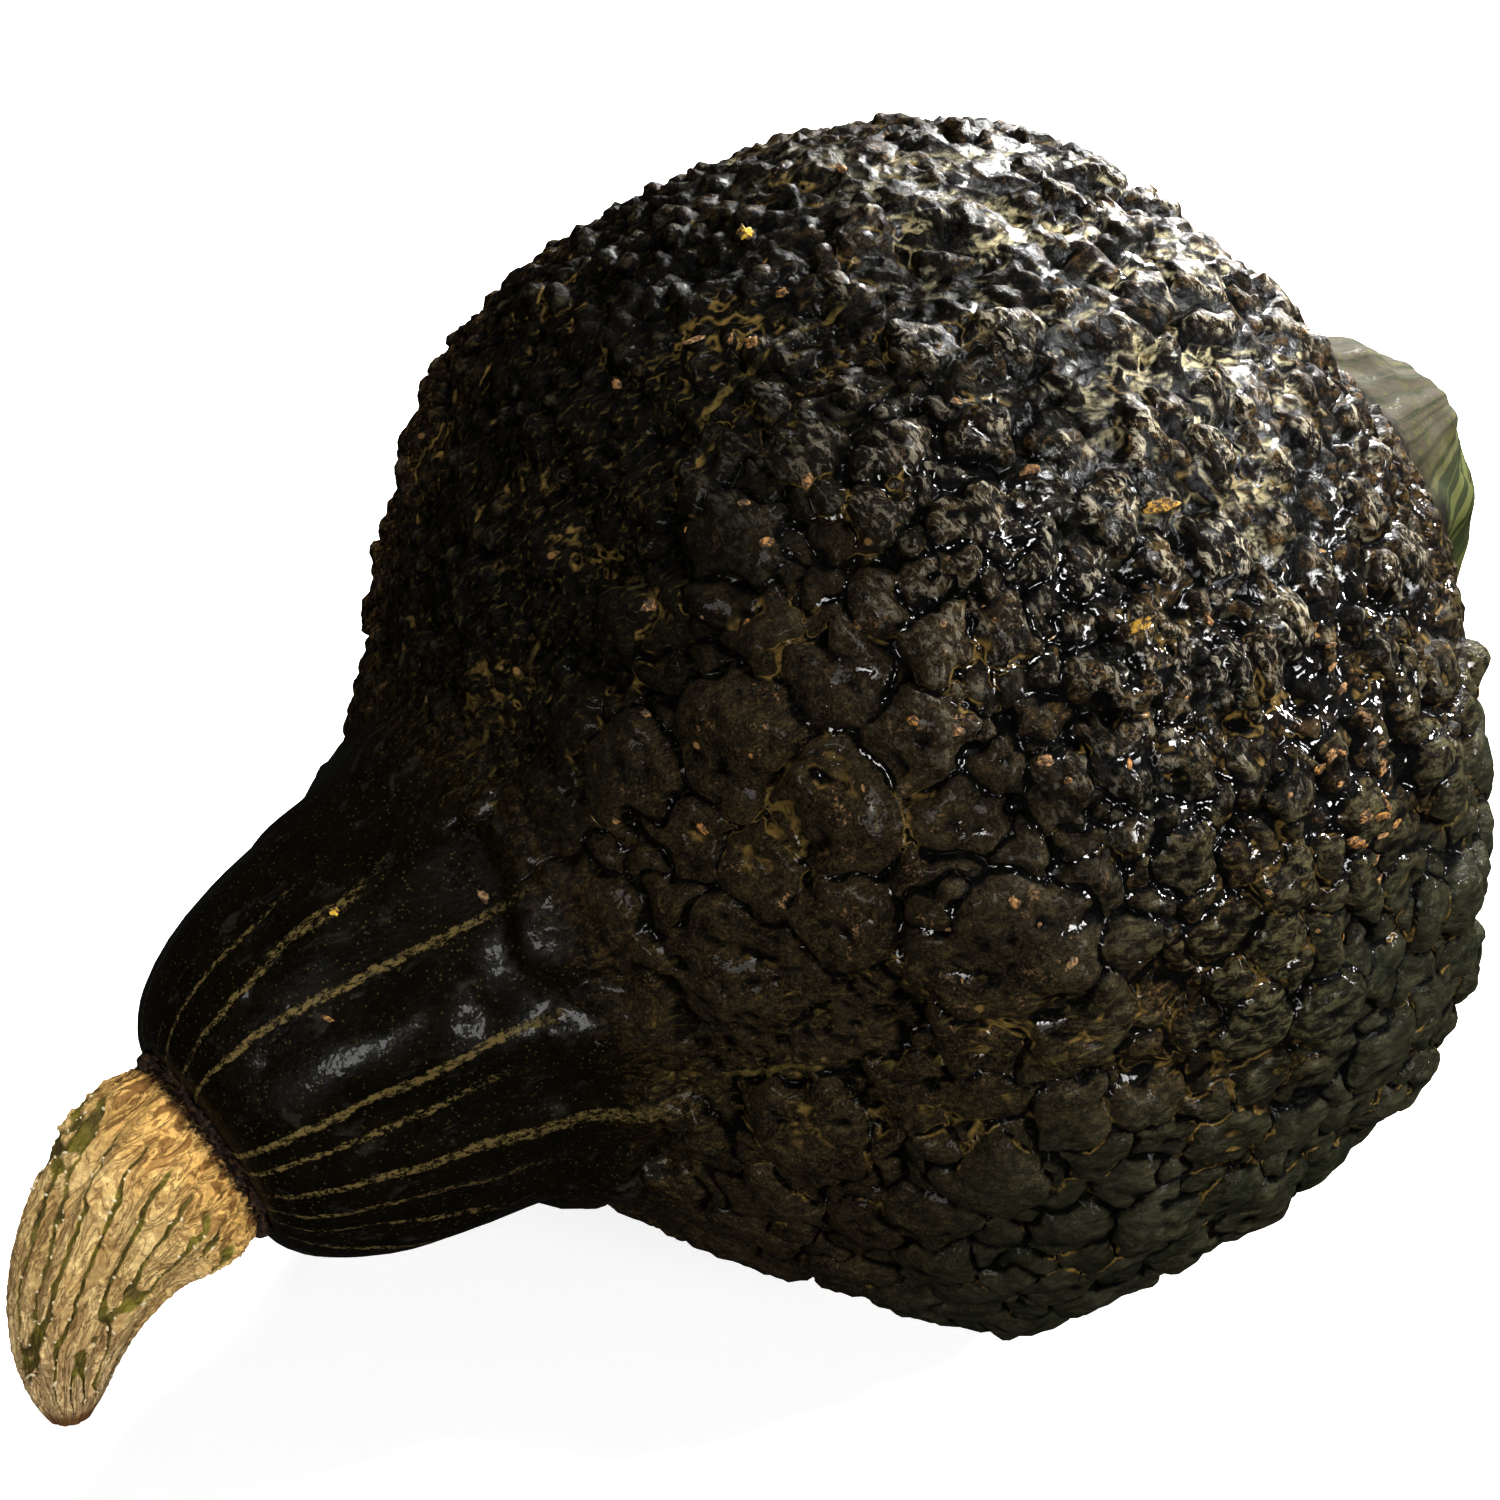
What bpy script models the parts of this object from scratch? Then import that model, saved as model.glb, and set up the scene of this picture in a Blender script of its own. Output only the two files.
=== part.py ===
"""A hubbard squash lying on its belly: one warted fruit with its corky stem.

Metres, +Z up. The stem end points along -X and the blossom end along +X. The origin is the
middle of the flat ground spot under the belly.
"""

import math

import bmesh
import bpy
import numpy as np
from mathutils import Vector

# Real sizes of the fruit. Its outline gives places along the fruit, counted from the widest
# place, and the radius of the bare skin there, from the stem's seat to the blossom's tip.
WIDEST_X = 0.012
FRUIT_OUTLINE = [
    (-0.195, 0.000), (-0.195, 0.024), (-0.192, 0.030), (-0.185, 0.0360), (-0.174, 0.0415),
    (-0.158, 0.0465), (-0.142, 0.0500), (-0.126, 0.0580), (-0.105, 0.0825), (-0.051, 0.1270),
    (-0.004, 0.1340), (0.039, 0.1265), (0.078, 0.0950), (0.124, 0.0470), (0.140, 0.0365),
    (0.155, 0.0230), (0.162, 0.0100), (0.164, 0.000),
]
TALLER_THAN_WIDE = 1.05
BELLY_AXIS_Z = 0.1320
STEM_SEAT_Z = 0.0930
BLOSSOM_TIP_Z = 0.1675
AXIS_SLOPE = 0.145
AXIS_BEND = 3

# Ribs and furrows. Angles run round the fruit's length, from +Y over the top at 90 degrees.
FURROW_COUNT = 5
FURROW_AT = math.radians(31)
FURROW_DEPTH = 0.0028
FURROW_SHARPNESS = 26
NECK_RIB_COUNT = 10
NECK_RIB_HEIGHT = 0.0007

# Warts: they start past the neck, stop at the blossom's nub and fade out on the ground spot.
WART_SEED = 7
WART_TRIES = 9000
WART_START, WART_END = 0.205, 0.80
SMALL_WART, FLANK_PLATE, UNDER_LUMP = 0.0135, 0.0075, 0.0030
WART_REACH = 0.64
WART_SLOPE = 0.27
PLATE_SLOPE = 0.11
GROUND_FADE = 0.016
GROUND_SNAP = 0.0001

FRUIT_SEGMENTS, FRUIT_RINGS = 320, 230
FRUIT_KEPT = 11600 / (2 * FRUIT_SEGMENTS * (FRUIT_RINGS - 1))

# Real sizes of the stem. Its outline gives the way along its bent middle line and the radius.
STEM_GAP = 0.0003
STEM_LENGTH = 0.073
STEM_TIP = Vector((-0.222, -0.002, 0.040))
STEM_OUTLINE = [
    (0.000, 0.0000), (0.000, 0.0200), (0.003, 0.0212), (0.012, 0.0223), (0.020, 0.0212),
    (0.030, 0.0182), (0.044, 0.0152), (0.052, 0.0132), (0.060, 0.0107), (0.068, 0.0078),
    (0.0715, 0.0058), (0.073, 0.0042), (0.073, 0.0000),
]
STEM_RIDGE_COUNT = 11
STEM_RIDGE_HEIGHT = 0.0008
STEM_RIDGE_TWIST = math.radians(35)
STEM_SEGMENTS, STEM_RINGS = 60, 34


def clear_scene():
    for item in list(bpy.data.objects):
        bpy.data.objects.remove(item, do_unlink=True)


def plain_material(name, colour, roughness):
    material = bpy.data.materials.new(name)
    material.use_nodes = True
    shader = material.node_tree.nodes["Principled BSDF"]
    shader.inputs["Base Color"].default_value = (*colour, 1.0)
    shader.inputs["Roughness"].default_value = roughness
    shader.inputs["Metallic"].default_value = 0.0
    return material


def fade(value, low, high):
    """0 below low and 1 above high, with a soft rise between them."""
    part = np.clip((value - low) / (high - low), 0.0, 1.0)
    return part * part * (3 - 2 * part)


def steady_curve(places, values, wanted):
    """A smooth curve through the points, with no swing past any of them."""
    steps = np.diff(places)
    rises = np.diff(values) / steps
    slopes = np.zeros(len(values))
    slopes[0], slopes[-1] = rises[0], rises[-1]
    for i in range(1, len(rises)):
        if rises[i - 1] * rises[i] > 0:
            before = 2 * steps[i] + steps[i - 1]
            after = steps[i] + 2 * steps[i - 1]
            slopes[i] = (before + after) / (before / rises[i - 1] + after / rises[i])
    i = np.clip(np.searchsorted(places, wanted) - 1, 0, len(steps) - 1)
    u = (wanted - places[i]) / steps[i]
    start = (1 + 2 * u) * (1 - u) ** 2 * values[i] + u * (1 - u) ** 2 * steps[i] * slopes[i]
    end = u * u * (3 - 2 * u) * values[i + 1] + u * u * (u - 1) * steps[i] * slopes[i + 1]
    return start + end


def outline_at(outline, share):
    """The place along a body and its radius, at a share of its outline's own length."""
    points = np.array(outline)
    lengths = np.hypot(*np.diff(points, axis=0).T)
    along = np.concatenate([[0.0], np.cumsum(lengths)])
    wanted = np.asarray(share) * along[-1]
    return steady_curve(along, points[:, 0], wanted), steady_curve(along, points[:, 1], wanted)


def fruit_axis(x):
    """Height and slope of the fruit's middle line, which droops to the stem and lifts to the blossom."""
    ends = np.where(x < 0, FRUIT_OUTLINE[0][0], FRUIT_OUTLINE[-1][0])
    bend = np.where(x < 0, STEM_SEAT_Z, BLOSSOM_TIP_Z) - BELLY_AXIS_Z - AXIS_SLOPE * ends
    part = np.abs(x / ends)
    height = BELLY_AXIS_Z + AXIS_SLOPE * x + bend * part ** AXIS_BEND
    slope = AXIS_SLOPE + bend * AXIS_BEND * part ** (AXIS_BEND - 1) / ends
    return height, slope


def bare_skin(share, angle):
    """Points of the fruit's skin before its warts: a bulb with a neck, a nub, furrows and faint ribs."""
    x, radius = outline_at(FRUIT_OUTLINE, share)
    height, slope = fruit_axis(x)
    body = fade(share, 0.17, 0.32) * (1 - fade(share, 0.78, 0.86))
    furrow = np.exp(FURROW_SHARPNESS * (np.cos(FURROW_COUNT * (angle - FURROW_AT)) - 1) / FURROW_COUNT)
    neck = fade(share, 0.055, 0.10) * (1 - fade(share, 0.17, 0.26))
    radius = radius - FURROW_DEPTH * body * furrow + NECK_RIB_HEIGHT * neck * np.cos(NECK_RIB_COUNT * angle)
    swell = np.sin(3 * angle + 14 * share) + np.sin(4 * angle - 21 * share + 1.3)
    radius = radius + 0.0009 * body * swell
    tilt = np.arctan(slope)
    rise = TALLER_THAN_WIDE * radius * np.sin(angle)
    return np.stack([
        WIDEST_X + x - rise * np.sin(tilt),
        radius * np.cos(angle),
        height + rise * np.cos(tilt),
    ], axis=-1)


def wart_spacing(share, angle):
    """Small nodules on top, broad plates on the flanks by the neck and round lumps below."""
    flank = 0.5 - 0.5 * math.cos(2 * angle - math.radians(120))
    by_neck = 1 - fade(share, 0.31, 0.43)
    under = fade(-math.sin(angle), -0.3, 0.5)
    return SMALL_WART + FLANK_PLATE * flank * by_neck + UNDER_LUMP * under, flank * by_neck


def scatter_warts():
    """Middles, reaches and rises of the warts: each is kept if it stands clear of those before it."""
    draw = np.random.default_rng(WART_SEED)
    widest = max(radius for _, radius in FRUIT_OUTLINE)
    middles, spacings, reaches, rises = [], [], [], []
    for _ in range(WART_TRIES):
        share = draw.uniform(WART_START, WART_END)
        angle = draw.uniform(0, 2 * math.pi)
        chance, size, height = draw.random(3)
        edge = WART_START + 0.012 * math.sin(3 * angle + 0.5) + 0.010 * math.sin(7 * angle)
        if share < edge or chance > outline_at(FRUIT_OUTLINE, share)[1] / widest:
            continue
        spacing, plate = wart_spacing(share, angle)
        spacing = spacing * (0.85 + 0.4 * size)
        middle = bare_skin(share, angle)
        if middles:
            gaps = np.linalg.norm(np.array(middles) - middle, axis=1)
            if np.any(gaps < 0.42 * (np.array(spacings) + spacing)):
                continue
        middles.append(middle)
        spacings.append(spacing)
        reaches.append(WART_REACH * spacing)
        young = 0.45 + 0.55 * fade(share, WART_START, 0.30)
        old = 1 - 0.7 * fade(share, 0.72, WART_END)
        rises.append((WART_SLOPE - PLATE_SLOPE * plate) * spacing * (0.75 + 0.5 * height) * young * old)
    return np.array(middles), np.array(reaches), np.array(rises)


def wart_height(points):
    """Height of the highest wart over each point: a dome with a steep foot."""
    middles, reaches, rises = scatter_warts()
    height = np.zeros(len(points))
    for middle, reach, rise in zip(middles, reaches, rises):
        near = np.flatnonzero(np.abs(points[:, 0] - middle[0]) < reach)
        away = np.linalg.norm(points[near] - middle, axis=1) / reach
        inside = near[away < 1]
        dome = rise * (1 - away[away < 1] ** 2) ** 0.7
        height[inside] = np.maximum(height[inside], dome)
    return height


def sphere_mesh(segments, rings):
    """A ball whose lower pole is share 0 and whose upper pole is share 1 of the body made from it."""
    mesh = bmesh.new()
    bmesh.ops.create_uvsphere(mesh, u_segments=segments, v_segments=rings, radius=1.0)
    places = np.array([vertex.co for vertex in mesh.verts])
    share = np.arccos(np.clip(-places[:, 2], -1, 1)) / math.pi
    angle = np.arctan2(places[:, 1], places[:, 0])
    return mesh, share, angle


def place_vertices(mesh, points):
    for vertex, point in zip(mesh.verts, points):
        vertex.co = point
    mesh.normal_update()


def finish_object(mesh, name, material, home):
    data = bpy.data.meshes.new(name)
    mesh.to_mesh(data)
    mesh.free()
    data.materials.append(material)
    piece = bpy.data.objects.new(name, data)
    home.objects.link(piece)
    return piece


def make_fruit(home):
    """The whole fruit, neck to nub, is one rind that rests on an exactly flat ground spot."""
    mesh, share, angle = sphere_mesh(FRUIT_SEGMENTS, FRUIT_RINGS)
    skin = bare_skin(share, angle)
    place_vertices(mesh, skin)
    outward = np.array([vertex.normal for vertex in mesh.verts])
    clear_of_ground = fade(skin[:, 2], 0.0, GROUND_FADE)
    warted = skin + outward * (wart_height(skin) * clear_of_ground)[:, None]
    warted[:, 2] = np.maximum(warted[:, 2], 0.0)
    place_vertices(mesh, warted)
    rind = plain_material("rind", (0.034, 0.030, 0.016), 0.38)
    fruit = finish_object(mesh, "fruit", rind, home)
    fewer = fruit.modifiers.new("fewer_faces", "DECIMATE")
    fewer.ratio = FRUIT_KEPT
    settled = bpy.data.meshes.new_from_object(fruit.evaluated_get(bpy.context.evaluated_depsgraph_get()))
    fruit.modifiers.clear()
    fruit.data = settled
    for vertex in settled.vertices:
        if vertex.co.z < GROUND_SNAP:
            vertex.co.z = 0.0
    return fruit


def stem_spine(share):
    """Middle line of the stem: it leaves the seat square, droops and ends pointing down."""
    slope = math.atan(float(fruit_axis(np.array(FRUIT_OUTLINE[0][0]))[1]))
    out = Vector((-math.cos(slope), 0, -math.sin(slope)))
    start = Vector((WIDEST_X + FRUIT_OUTLINE[0][0], 0, STEM_SEAT_Z)) + out * STEM_GAP
    bend_1 = start + out * 0.022
    bend_2 = STEM_TIP + Vector((0.001, 0.001, 0.034))
    t = share
    place = start * (1 - t) ** 3 + bend_1 * 3 * t * (1 - t) ** 2 + bend_2 * 3 * t * t * (1 - t) + STEM_TIP * t ** 3
    heading = (
        (bend_1 - start) * (1 - t) ** 2 + (bend_2 - bend_1) * 2 * t * (1 - t) + (STEM_TIP - bend_2) * t ** 2
    )
    return place, heading.normalized()


def make_stem(home):
    """The corky stem: ridged lengthwise, thick at its seat and cut off at its tip."""
    mesh, share, angle = sphere_mesh(STEM_SEGMENTS, STEM_RINGS)
    along, radius = outline_at(STEM_OUTLINE, share)
    points = []
    for way, wide, turn in zip(along, radius, angle):
        part = way / STEM_LENGTH
        place, heading = stem_spine(part)
        side = heading.cross(Vector((0, 1, 0))).normalized()
        other = heading.cross(side)
        ridge = math.cos(STEM_RIDGE_COUNT * (turn + STEM_RIDGE_TWIST * part))
        ridge += 0.5 * math.cos(2 * STEM_RIDGE_COUNT * turn + 9 * part)
        wide += STEM_RIDGE_HEIGHT * ridge * float(fade(part, 0.02, 0.15)) * min(1.0, wide / 0.008)
        points.append(place + side * (wide * math.cos(turn)) + other * (wide * math.sin(turn)))
    place_vertices(mesh, points)
    bmesh.ops.recalc_face_normals(mesh, faces=mesh.faces)
    cork = plain_material("cork", (0.42, 0.30, 0.13), 0.85)
    return finish_object(mesh, "stem", cork, home)


def main():
    clear_scene()
    home = bpy.data.collections.new("hubbard_squash")
    bpy.context.scene.collection.children.link(home)
    make_fruit(home)
    make_stem(home)


main()
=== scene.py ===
import math
import bmesh
import bpy
import numpy as np
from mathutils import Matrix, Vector


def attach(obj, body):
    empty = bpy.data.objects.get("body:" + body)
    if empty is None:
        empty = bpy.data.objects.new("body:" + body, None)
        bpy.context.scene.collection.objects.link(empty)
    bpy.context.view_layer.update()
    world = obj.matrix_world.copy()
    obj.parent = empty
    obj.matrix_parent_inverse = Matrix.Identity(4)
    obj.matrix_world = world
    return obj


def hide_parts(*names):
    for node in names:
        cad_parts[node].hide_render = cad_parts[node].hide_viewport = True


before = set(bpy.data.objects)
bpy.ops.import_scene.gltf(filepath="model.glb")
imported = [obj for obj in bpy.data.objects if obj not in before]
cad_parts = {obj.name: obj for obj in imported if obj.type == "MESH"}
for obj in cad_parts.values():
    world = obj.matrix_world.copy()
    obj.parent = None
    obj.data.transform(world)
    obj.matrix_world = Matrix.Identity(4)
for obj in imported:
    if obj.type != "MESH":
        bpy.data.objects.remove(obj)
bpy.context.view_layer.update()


# The view. The photograph looks down at about 30 degrees, from the stem's side and a little to
# the left of square on, from about 0.63 m away, with the fruit filling most of the frame.
VIEW_TURN = math.radians(-35.9)
VIEW_DROP = math.radians(30.0)
VIEW_ACROSS = math.radians(30.0)
VIEW_DISTANCE = 0.636
VIEW_TARGET = Vector((-0.0425, 0.0, 0.1405))

camera_data = bpy.data.cameras.new("camera")
camera_data.sensor_width = 36.0
camera_data.lens = 18.0 / math.tan(VIEW_ACROSS / 2)


def put_in_scene(name, data):
    thing = bpy.data.objects.new(name, data)
    bpy.context.scene.collection.objects.link(thing)
    return thing


camera = put_in_scene("camera", camera_data)
away = Vector((
    math.sin(VIEW_TURN) * math.cos(VIEW_DROP),
    -math.cos(VIEW_TURN) * math.cos(VIEW_DROP),
    math.sin(VIEW_DROP),
))
camera.location = VIEW_TARGET + away * VIEW_DISTANCE
camera.rotation_euler = (math.pi / 2 - VIEW_DROP, 0.0, VIEW_TURN)
bpy.context.scene.camera = camera


# The room: a pale floor that runs past the view, a dim grey surround and soft lamps. The
# strong one stands behind and to the right, so the upper right of the rind shines white.
FLOOR_SIZE = 12.0
FLOOR_GREY, FLOOR_GLOW = 0.65, 0.68
SURROUND_LIGHT = 0.03
PICTURE_GAMMA = 0.80


def new_finish(name):
    """A new finish, with its node tree and its shader."""
    finish = bpy.data.materials.new(name)
    finish.use_nodes = True
    return finish, finish.node_tree, finish.node_tree.nodes["Principled BSDF"]


floor_mesh = bmesh.new()
bmesh.ops.create_grid(floor_mesh, x_segments=1, y_segments=1, size=FLOOR_SIZE / 2)
floor_data = bpy.data.meshes.new("floor")
floor_mesh.to_mesh(floor_data)
floor_mesh.free()
floor = put_in_scene("floor", floor_data)
pale_floor, _, floor_shader = new_finish("pale_floor")
for socket, value in (
    ("Base Color", (FLOOR_GREY, FLOOR_GREY, FLOOR_GREY, 1)), ("Roughness", 0.9),
    ("Specular IOR Level", 0.1), ("Emission Color", (1, 1, 1, 1)), ("Emission Strength", FLOOR_GLOW),
):
    floor_shader.inputs[socket].default_value = value
floor_data.materials.append(pale_floor)
floor.visible_glossy = False
floor.visible_diffuse = False

surround = bpy.data.worlds.new("surround")
surround.use_nodes = True
surround.node_tree.nodes["Background"].inputs["Color"].default_value = (1, 1, 1, 1)
surround.node_tree.nodes["Background"].inputs["Strength"].default_value = SURROUND_LIGHT
bpy.context.scene.world = surround
bpy.context.scene.view_settings.view_transform = "Standard"
bpy.context.scene.view_settings.gamma = PICTURE_GAMMA


def soft_lamp(name, place, target, width, power):
    data = bpy.data.lights.new(name, "AREA")
    data.shape = "DISK"
    data.size = width
    data.energy = power
    lamp = put_in_scene(name, data)
    lamp.location = place
    lamp.rotation_euler = (Vector(target) - Vector(place)).to_track_quat("-Z", "Y").to_euler()


# Each lamp's place, what it points at, its width in metres and its power in watts.
soft_lamp("sky_lamp", (0.6, 0.1, 2.4), (0.0, 0.0, 0.0), 0.5, 40)
soft_lamp("window_lamp", (1.45, 0.75, 1.0), (0.05, 0.0, 0.15), 0.42, 112)
soft_lamp("right_lamp", (1.5, -1.0, 0.9), (0.08, 0.0, 0.12), 0.30, 50)
soft_lamp("front_lamp", (-1.3, -1.2, 0.8), (-0.18, 0.0, 0.08), 0.6, 27)
soft_lamp("low_lamp", (0.5, -1.8, 0.35), (0.05, 0.0, 0.06), 0.5, 20)
soft_lamp("glint_lamp_1", (0.9, 0.1, 1.5), (0.05, 0.0, 0.15), 0.10, 3.5)
soft_lamp("glint_lamp_2", (0.2, -0.6, 1.7), (0.0, 0.0, 0.15), 0.08, 2.5)
soft_lamp("glint_lamp_3", (1.2, -0.6, 1.3), (0.05, 0.0, 0.15), 0.08, 2.5)


# The rind, the whole fruit from neck to nub. It is one hard waxy skin that grew smooth and
# striped on the neck and blistered into warts over the bulb, and it rests on a flat spot.
WIDEST_X = 0.012
FRUIT_OUTLINE = [
    (-0.195, 0.000), (-0.195, 0.024), (-0.192, 0.030), (-0.185, 0.0360), (-0.174, 0.0415),
    (-0.158, 0.0465), (-0.142, 0.0500), (-0.126, 0.0580), (-0.105, 0.0825), (-0.051, 0.1270),
    (-0.004, 0.1340), (0.039, 0.1265), (0.078, 0.0950), (0.124, 0.0470), (0.140, 0.0365),
    (0.155, 0.0230), (0.162, 0.0100), (0.164, 0.000),
]
TALLER_THAN_WIDE = 1.05
BELLY_AXIS_Z = 0.1320
STEM_SEAT_Z = 0.0930
BLOSSOM_TIP_Z = 0.1675
AXIS_SLOPE = 0.145
AXIS_BEND = 3
FURROW_COUNT = 5
FURROW_AT = math.radians(31)
FURROW_DEPTH = 0.0028
FURROW_SHARPNESS = 26
NECK_RIB_COUNT = 10
NECK_RIB_HEIGHT = 0.0007
WART_SEED = 7
WART_TRIES = 9000
WART_START, WART_END = 0.205, 0.80
SMALL_WART, FLANK_PLATE, UNDER_LUMP = 0.0135, 0.0075, 0.0030
WART_SLOPE = 0.27
PLATE_SLOPE = 0.11
GROUND_FADE = 0.016
RIND_SEGMENTS, RIND_RINGS = 960, 700
RIND_TRIANGLES = 190000
BULB_START, BULB_END = 0.28, 0.80
FLAT_ON_GROUND = 0.0001


def fade(value, low, high):
    part = np.clip((value - low) / (high - low), 0.0, 1.0)
    return part * part * (3 - 2 * part)


def steady_curve(places, values, wanted):
    """A smooth curve through the points, with no swing past any of them."""
    steps = np.diff(places)
    rises = np.diff(values) / steps
    slopes = np.zeros(len(values))
    slopes[0], slopes[-1] = rises[0], rises[-1]
    for i in range(1, len(rises)):
        if rises[i - 1] * rises[i] > 0:
            before = 2 * steps[i] + steps[i - 1]
            after = steps[i] + 2 * steps[i - 1]
            slopes[i] = (before + after) / (before / rises[i - 1] + after / rises[i])
    i = np.clip(np.searchsorted(places, wanted) - 1, 0, len(steps) - 1)
    u = (wanted - places[i]) / steps[i]
    start = (1 + 2 * u) * (1 - u) ** 2 * values[i] + u * (1 - u) ** 2 * steps[i] * slopes[i]
    end = u * u * (3 - 2 * u) * values[i + 1] + u * u * (u - 1) * steps[i] * slopes[i + 1]
    return start + end


def outline_at(outline, share):
    points = np.array(outline)
    along = np.concatenate([[0.0], np.cumsum(np.hypot(*np.diff(points, axis=0).T))])
    wanted = np.asarray(share) * along[-1]
    return steady_curve(along, points[:, 0], wanted), steady_curve(along, points[:, 1], wanted)


def fruit_axis(x):
    """Height and slope of the fruit's middle line, which droops to the stem and lifts to the blossom."""
    ends = np.where(x < 0, FRUIT_OUTLINE[0][0], FRUIT_OUTLINE[-1][0])
    bend = np.where(x < 0, STEM_SEAT_Z, BLOSSOM_TIP_Z) - BELLY_AXIS_Z - AXIS_SLOPE * ends
    part = np.abs(x / ends)
    height = BELLY_AXIS_Z + AXIS_SLOPE * x + bend * part ** AXIS_BEND
    slope = AXIS_SLOPE + bend * AXIS_BEND * part ** (AXIS_BEND - 1) / ends
    return height, slope


def bare_skin(share, angle):
    """Points of the skin before its warts. Angles run from +Y over the top at 90 degrees."""
    x, radius = outline_at(FRUIT_OUTLINE, share)
    height, slope = fruit_axis(x)
    body = fade(share, 0.17, 0.32) * (1 - fade(share, 0.78, 0.86))
    furrow = (np.cos(FURROW_COUNT * (angle - FURROW_AT)) - 1) / FURROW_COUNT
    furrow = np.exp(FURROW_SHARPNESS * furrow)
    neck = fade(share, 0.055, 0.10) * (1 - fade(share, 0.17, 0.26))
    radius = radius - FURROW_DEPTH * body * furrow
    radius = radius + NECK_RIB_HEIGHT * neck * np.cos(NECK_RIB_COUNT * angle)
    swell = np.sin(3 * angle + 14 * share) + np.sin(4 * angle - 21 * share + 1.3)
    radius = radius + 0.0009 * body * swell
    tilt = np.arctan(slope)
    rise = TALLER_THAN_WIDE * radius * np.sin(angle)
    along, up = WIDEST_X + x - rise * np.sin(tilt), height + rise * np.cos(tilt)
    return np.stack(np.broadcast_arrays(along, radius * np.cos(angle), up), axis=-1)


def wart_spacing(share, angle):
    flank = 0.5 - 0.5 * math.cos(2 * angle - math.radians(120))
    by_neck = 1 - fade(share, 0.31, 0.43)
    under = fade(-math.sin(angle), -0.3, 0.5)
    return SMALL_WART + FLANK_PLATE * flank * by_neck + UNDER_LUMP * under, flank * by_neck


def scatter_warts():
    """Places, spacings and rises of the main warts: each is kept if it stands clear of the others."""
    draw = np.random.default_rng(WART_SEED)
    widest = max(radius for _, radius in FRUIT_OUTLINE)
    warts = []
    middles, spacings = np.zeros((WART_TRIES, 3)), np.zeros(WART_TRIES)
    for _ in range(WART_TRIES):
        share = draw.uniform(WART_START, WART_END)
        angle = draw.uniform(0, 2 * math.pi)
        chance, size, height = draw.random(3)
        if share < skin_edge(angle) or chance > outline_at(FRUIT_OUTLINE, share)[1] / widest:
            continue
        spacing, plate = wart_spacing(share, angle)
        spacing = spacing * (0.85 + 0.4 * size)
        middle = bare_skin(share, angle)
        count = len(warts)
        gaps = np.linalg.norm(middles[:count] - middle, axis=1)
        if np.any(gaps < 0.42 * (spacings[:count] + spacing)):
            continue
        middles[count], spacings[count] = middle, spacing
        young = 0.45 + 0.55 * fade(share, WART_START, 0.30)
        old = 1 - 0.7 * fade(share, 0.72, WART_END)
        rise = (WART_SLOPE - PLATE_SLOPE * plate) * spacing * (0.75 + 0.5 * height) * young * old
        warts.append((share, angle, spacing, rise, plate))
    return warts, middles[:len(warts)], spacings[:len(warts)]


def crumple(points, size, seed):
    """Smooth noise of about unit height, as a sum of waves of about the given size."""
    draw = np.random.default_rng(seed)
    total = np.zeros(points.shape[:-1])
    for _ in range(14):
        heading = draw.normal(size=3)
        heading *= 2 * math.pi * draw.uniform(0.6, 1.6) / (size * np.linalg.norm(heading))
        total += np.sin(points @ heading + draw.uniform(0, 2 * math.pi))
    return total / math.sqrt(7)


def crumple_ways(points, size, seeds):
    return np.stack([crumple(points, size, seed) for seed in seeds], axis=-1)


def skin_edge(angle):
    """Where the warts start, which sways round the neck."""
    return WART_START + 0.012 * math.sin(3 * angle + 0.5) + 0.010 * math.sin(7 * angle)


# The skin's grid, ring by ring from the stem's seat to the blossom's tip, and how much of each
# kind of growth there is at each place: plates, lumps, nodules, rough and calm skin.
ring_share = (np.arange(1, RIND_RINGS) / RIND_RINGS)[:, None]
turn_angle = (2 * math.pi * np.arange(RIND_SEGMENTS) / RIND_SEGMENTS)[None, :]
skin = bare_skin(ring_share, turn_angle)
flank = 0.5 - 0.5 * np.cos(2 * turn_angle - math.radians(120))
plates_here = flank * (1 - fade(ring_share, 0.31, 0.43))
lumps_here = fade(-np.sin(turn_angle), -0.3, 0.5) * np.ones_like(ring_share)
nodules_here = (1 - flank) * (1 - lumps_here) * (1 - fade(ring_share, 0.50, 0.64))
warted_here = fade(ring_share, WART_START - 0.01, WART_START + 0.04) * (1 - fade(ring_share, 0.76, 0.84))
stray = np.degrees(turn_angle) + 5 * np.sin(23 * ring_share)
corridor = np.exp(-((((stray - math.degrees(FURROW_AT) + 36) % 72) - 36) / 8.5) ** 2)
flow_here = corridor * fade(ring_share, 0.19, 0.24) * (1 - fade(ring_share, 0.38, 0.50))
mild_here = np.exp(-((np.degrees(turn_angle) - 80) / 36) ** 4) * (1 - fade(ring_share, 0.56, 0.72))
calm_here = np.maximum(0.66 * mild_here, 0.80 * flow_here)
rough_here = fade(ring_share, 0.36, 0.46) * fade(np.sin(turn_angle), 0.1, 0.45) * np.ones_like(turn_angle)
girdled_here = fade(ring_share, 0.46, 0.54) * (1 - fade(ring_share, 0.76, 0.82))
girdled_here = girdled_here * fade(np.sin(turn_angle), 0.05, 0.45)
warped_skin = skin + 0.0012 * crumple_ways(skin, 0.013, (1, 2, 3))
warped_skin += 0.0005 * rough_here[..., None] * crumple_ways(skin, 0.005, (4, 5, 6))
outline_points = np.array(FRUIT_OUTLINE)
ring_step = np.hypot(*np.diff(outline_points, axis=0).T).sum() / RIND_RINGS


def grid_place(share, angle):
    return int(share * RIND_RINGS) - 1, int(angle / (2 * math.pi) * RIND_SEGMENTS)


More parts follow.
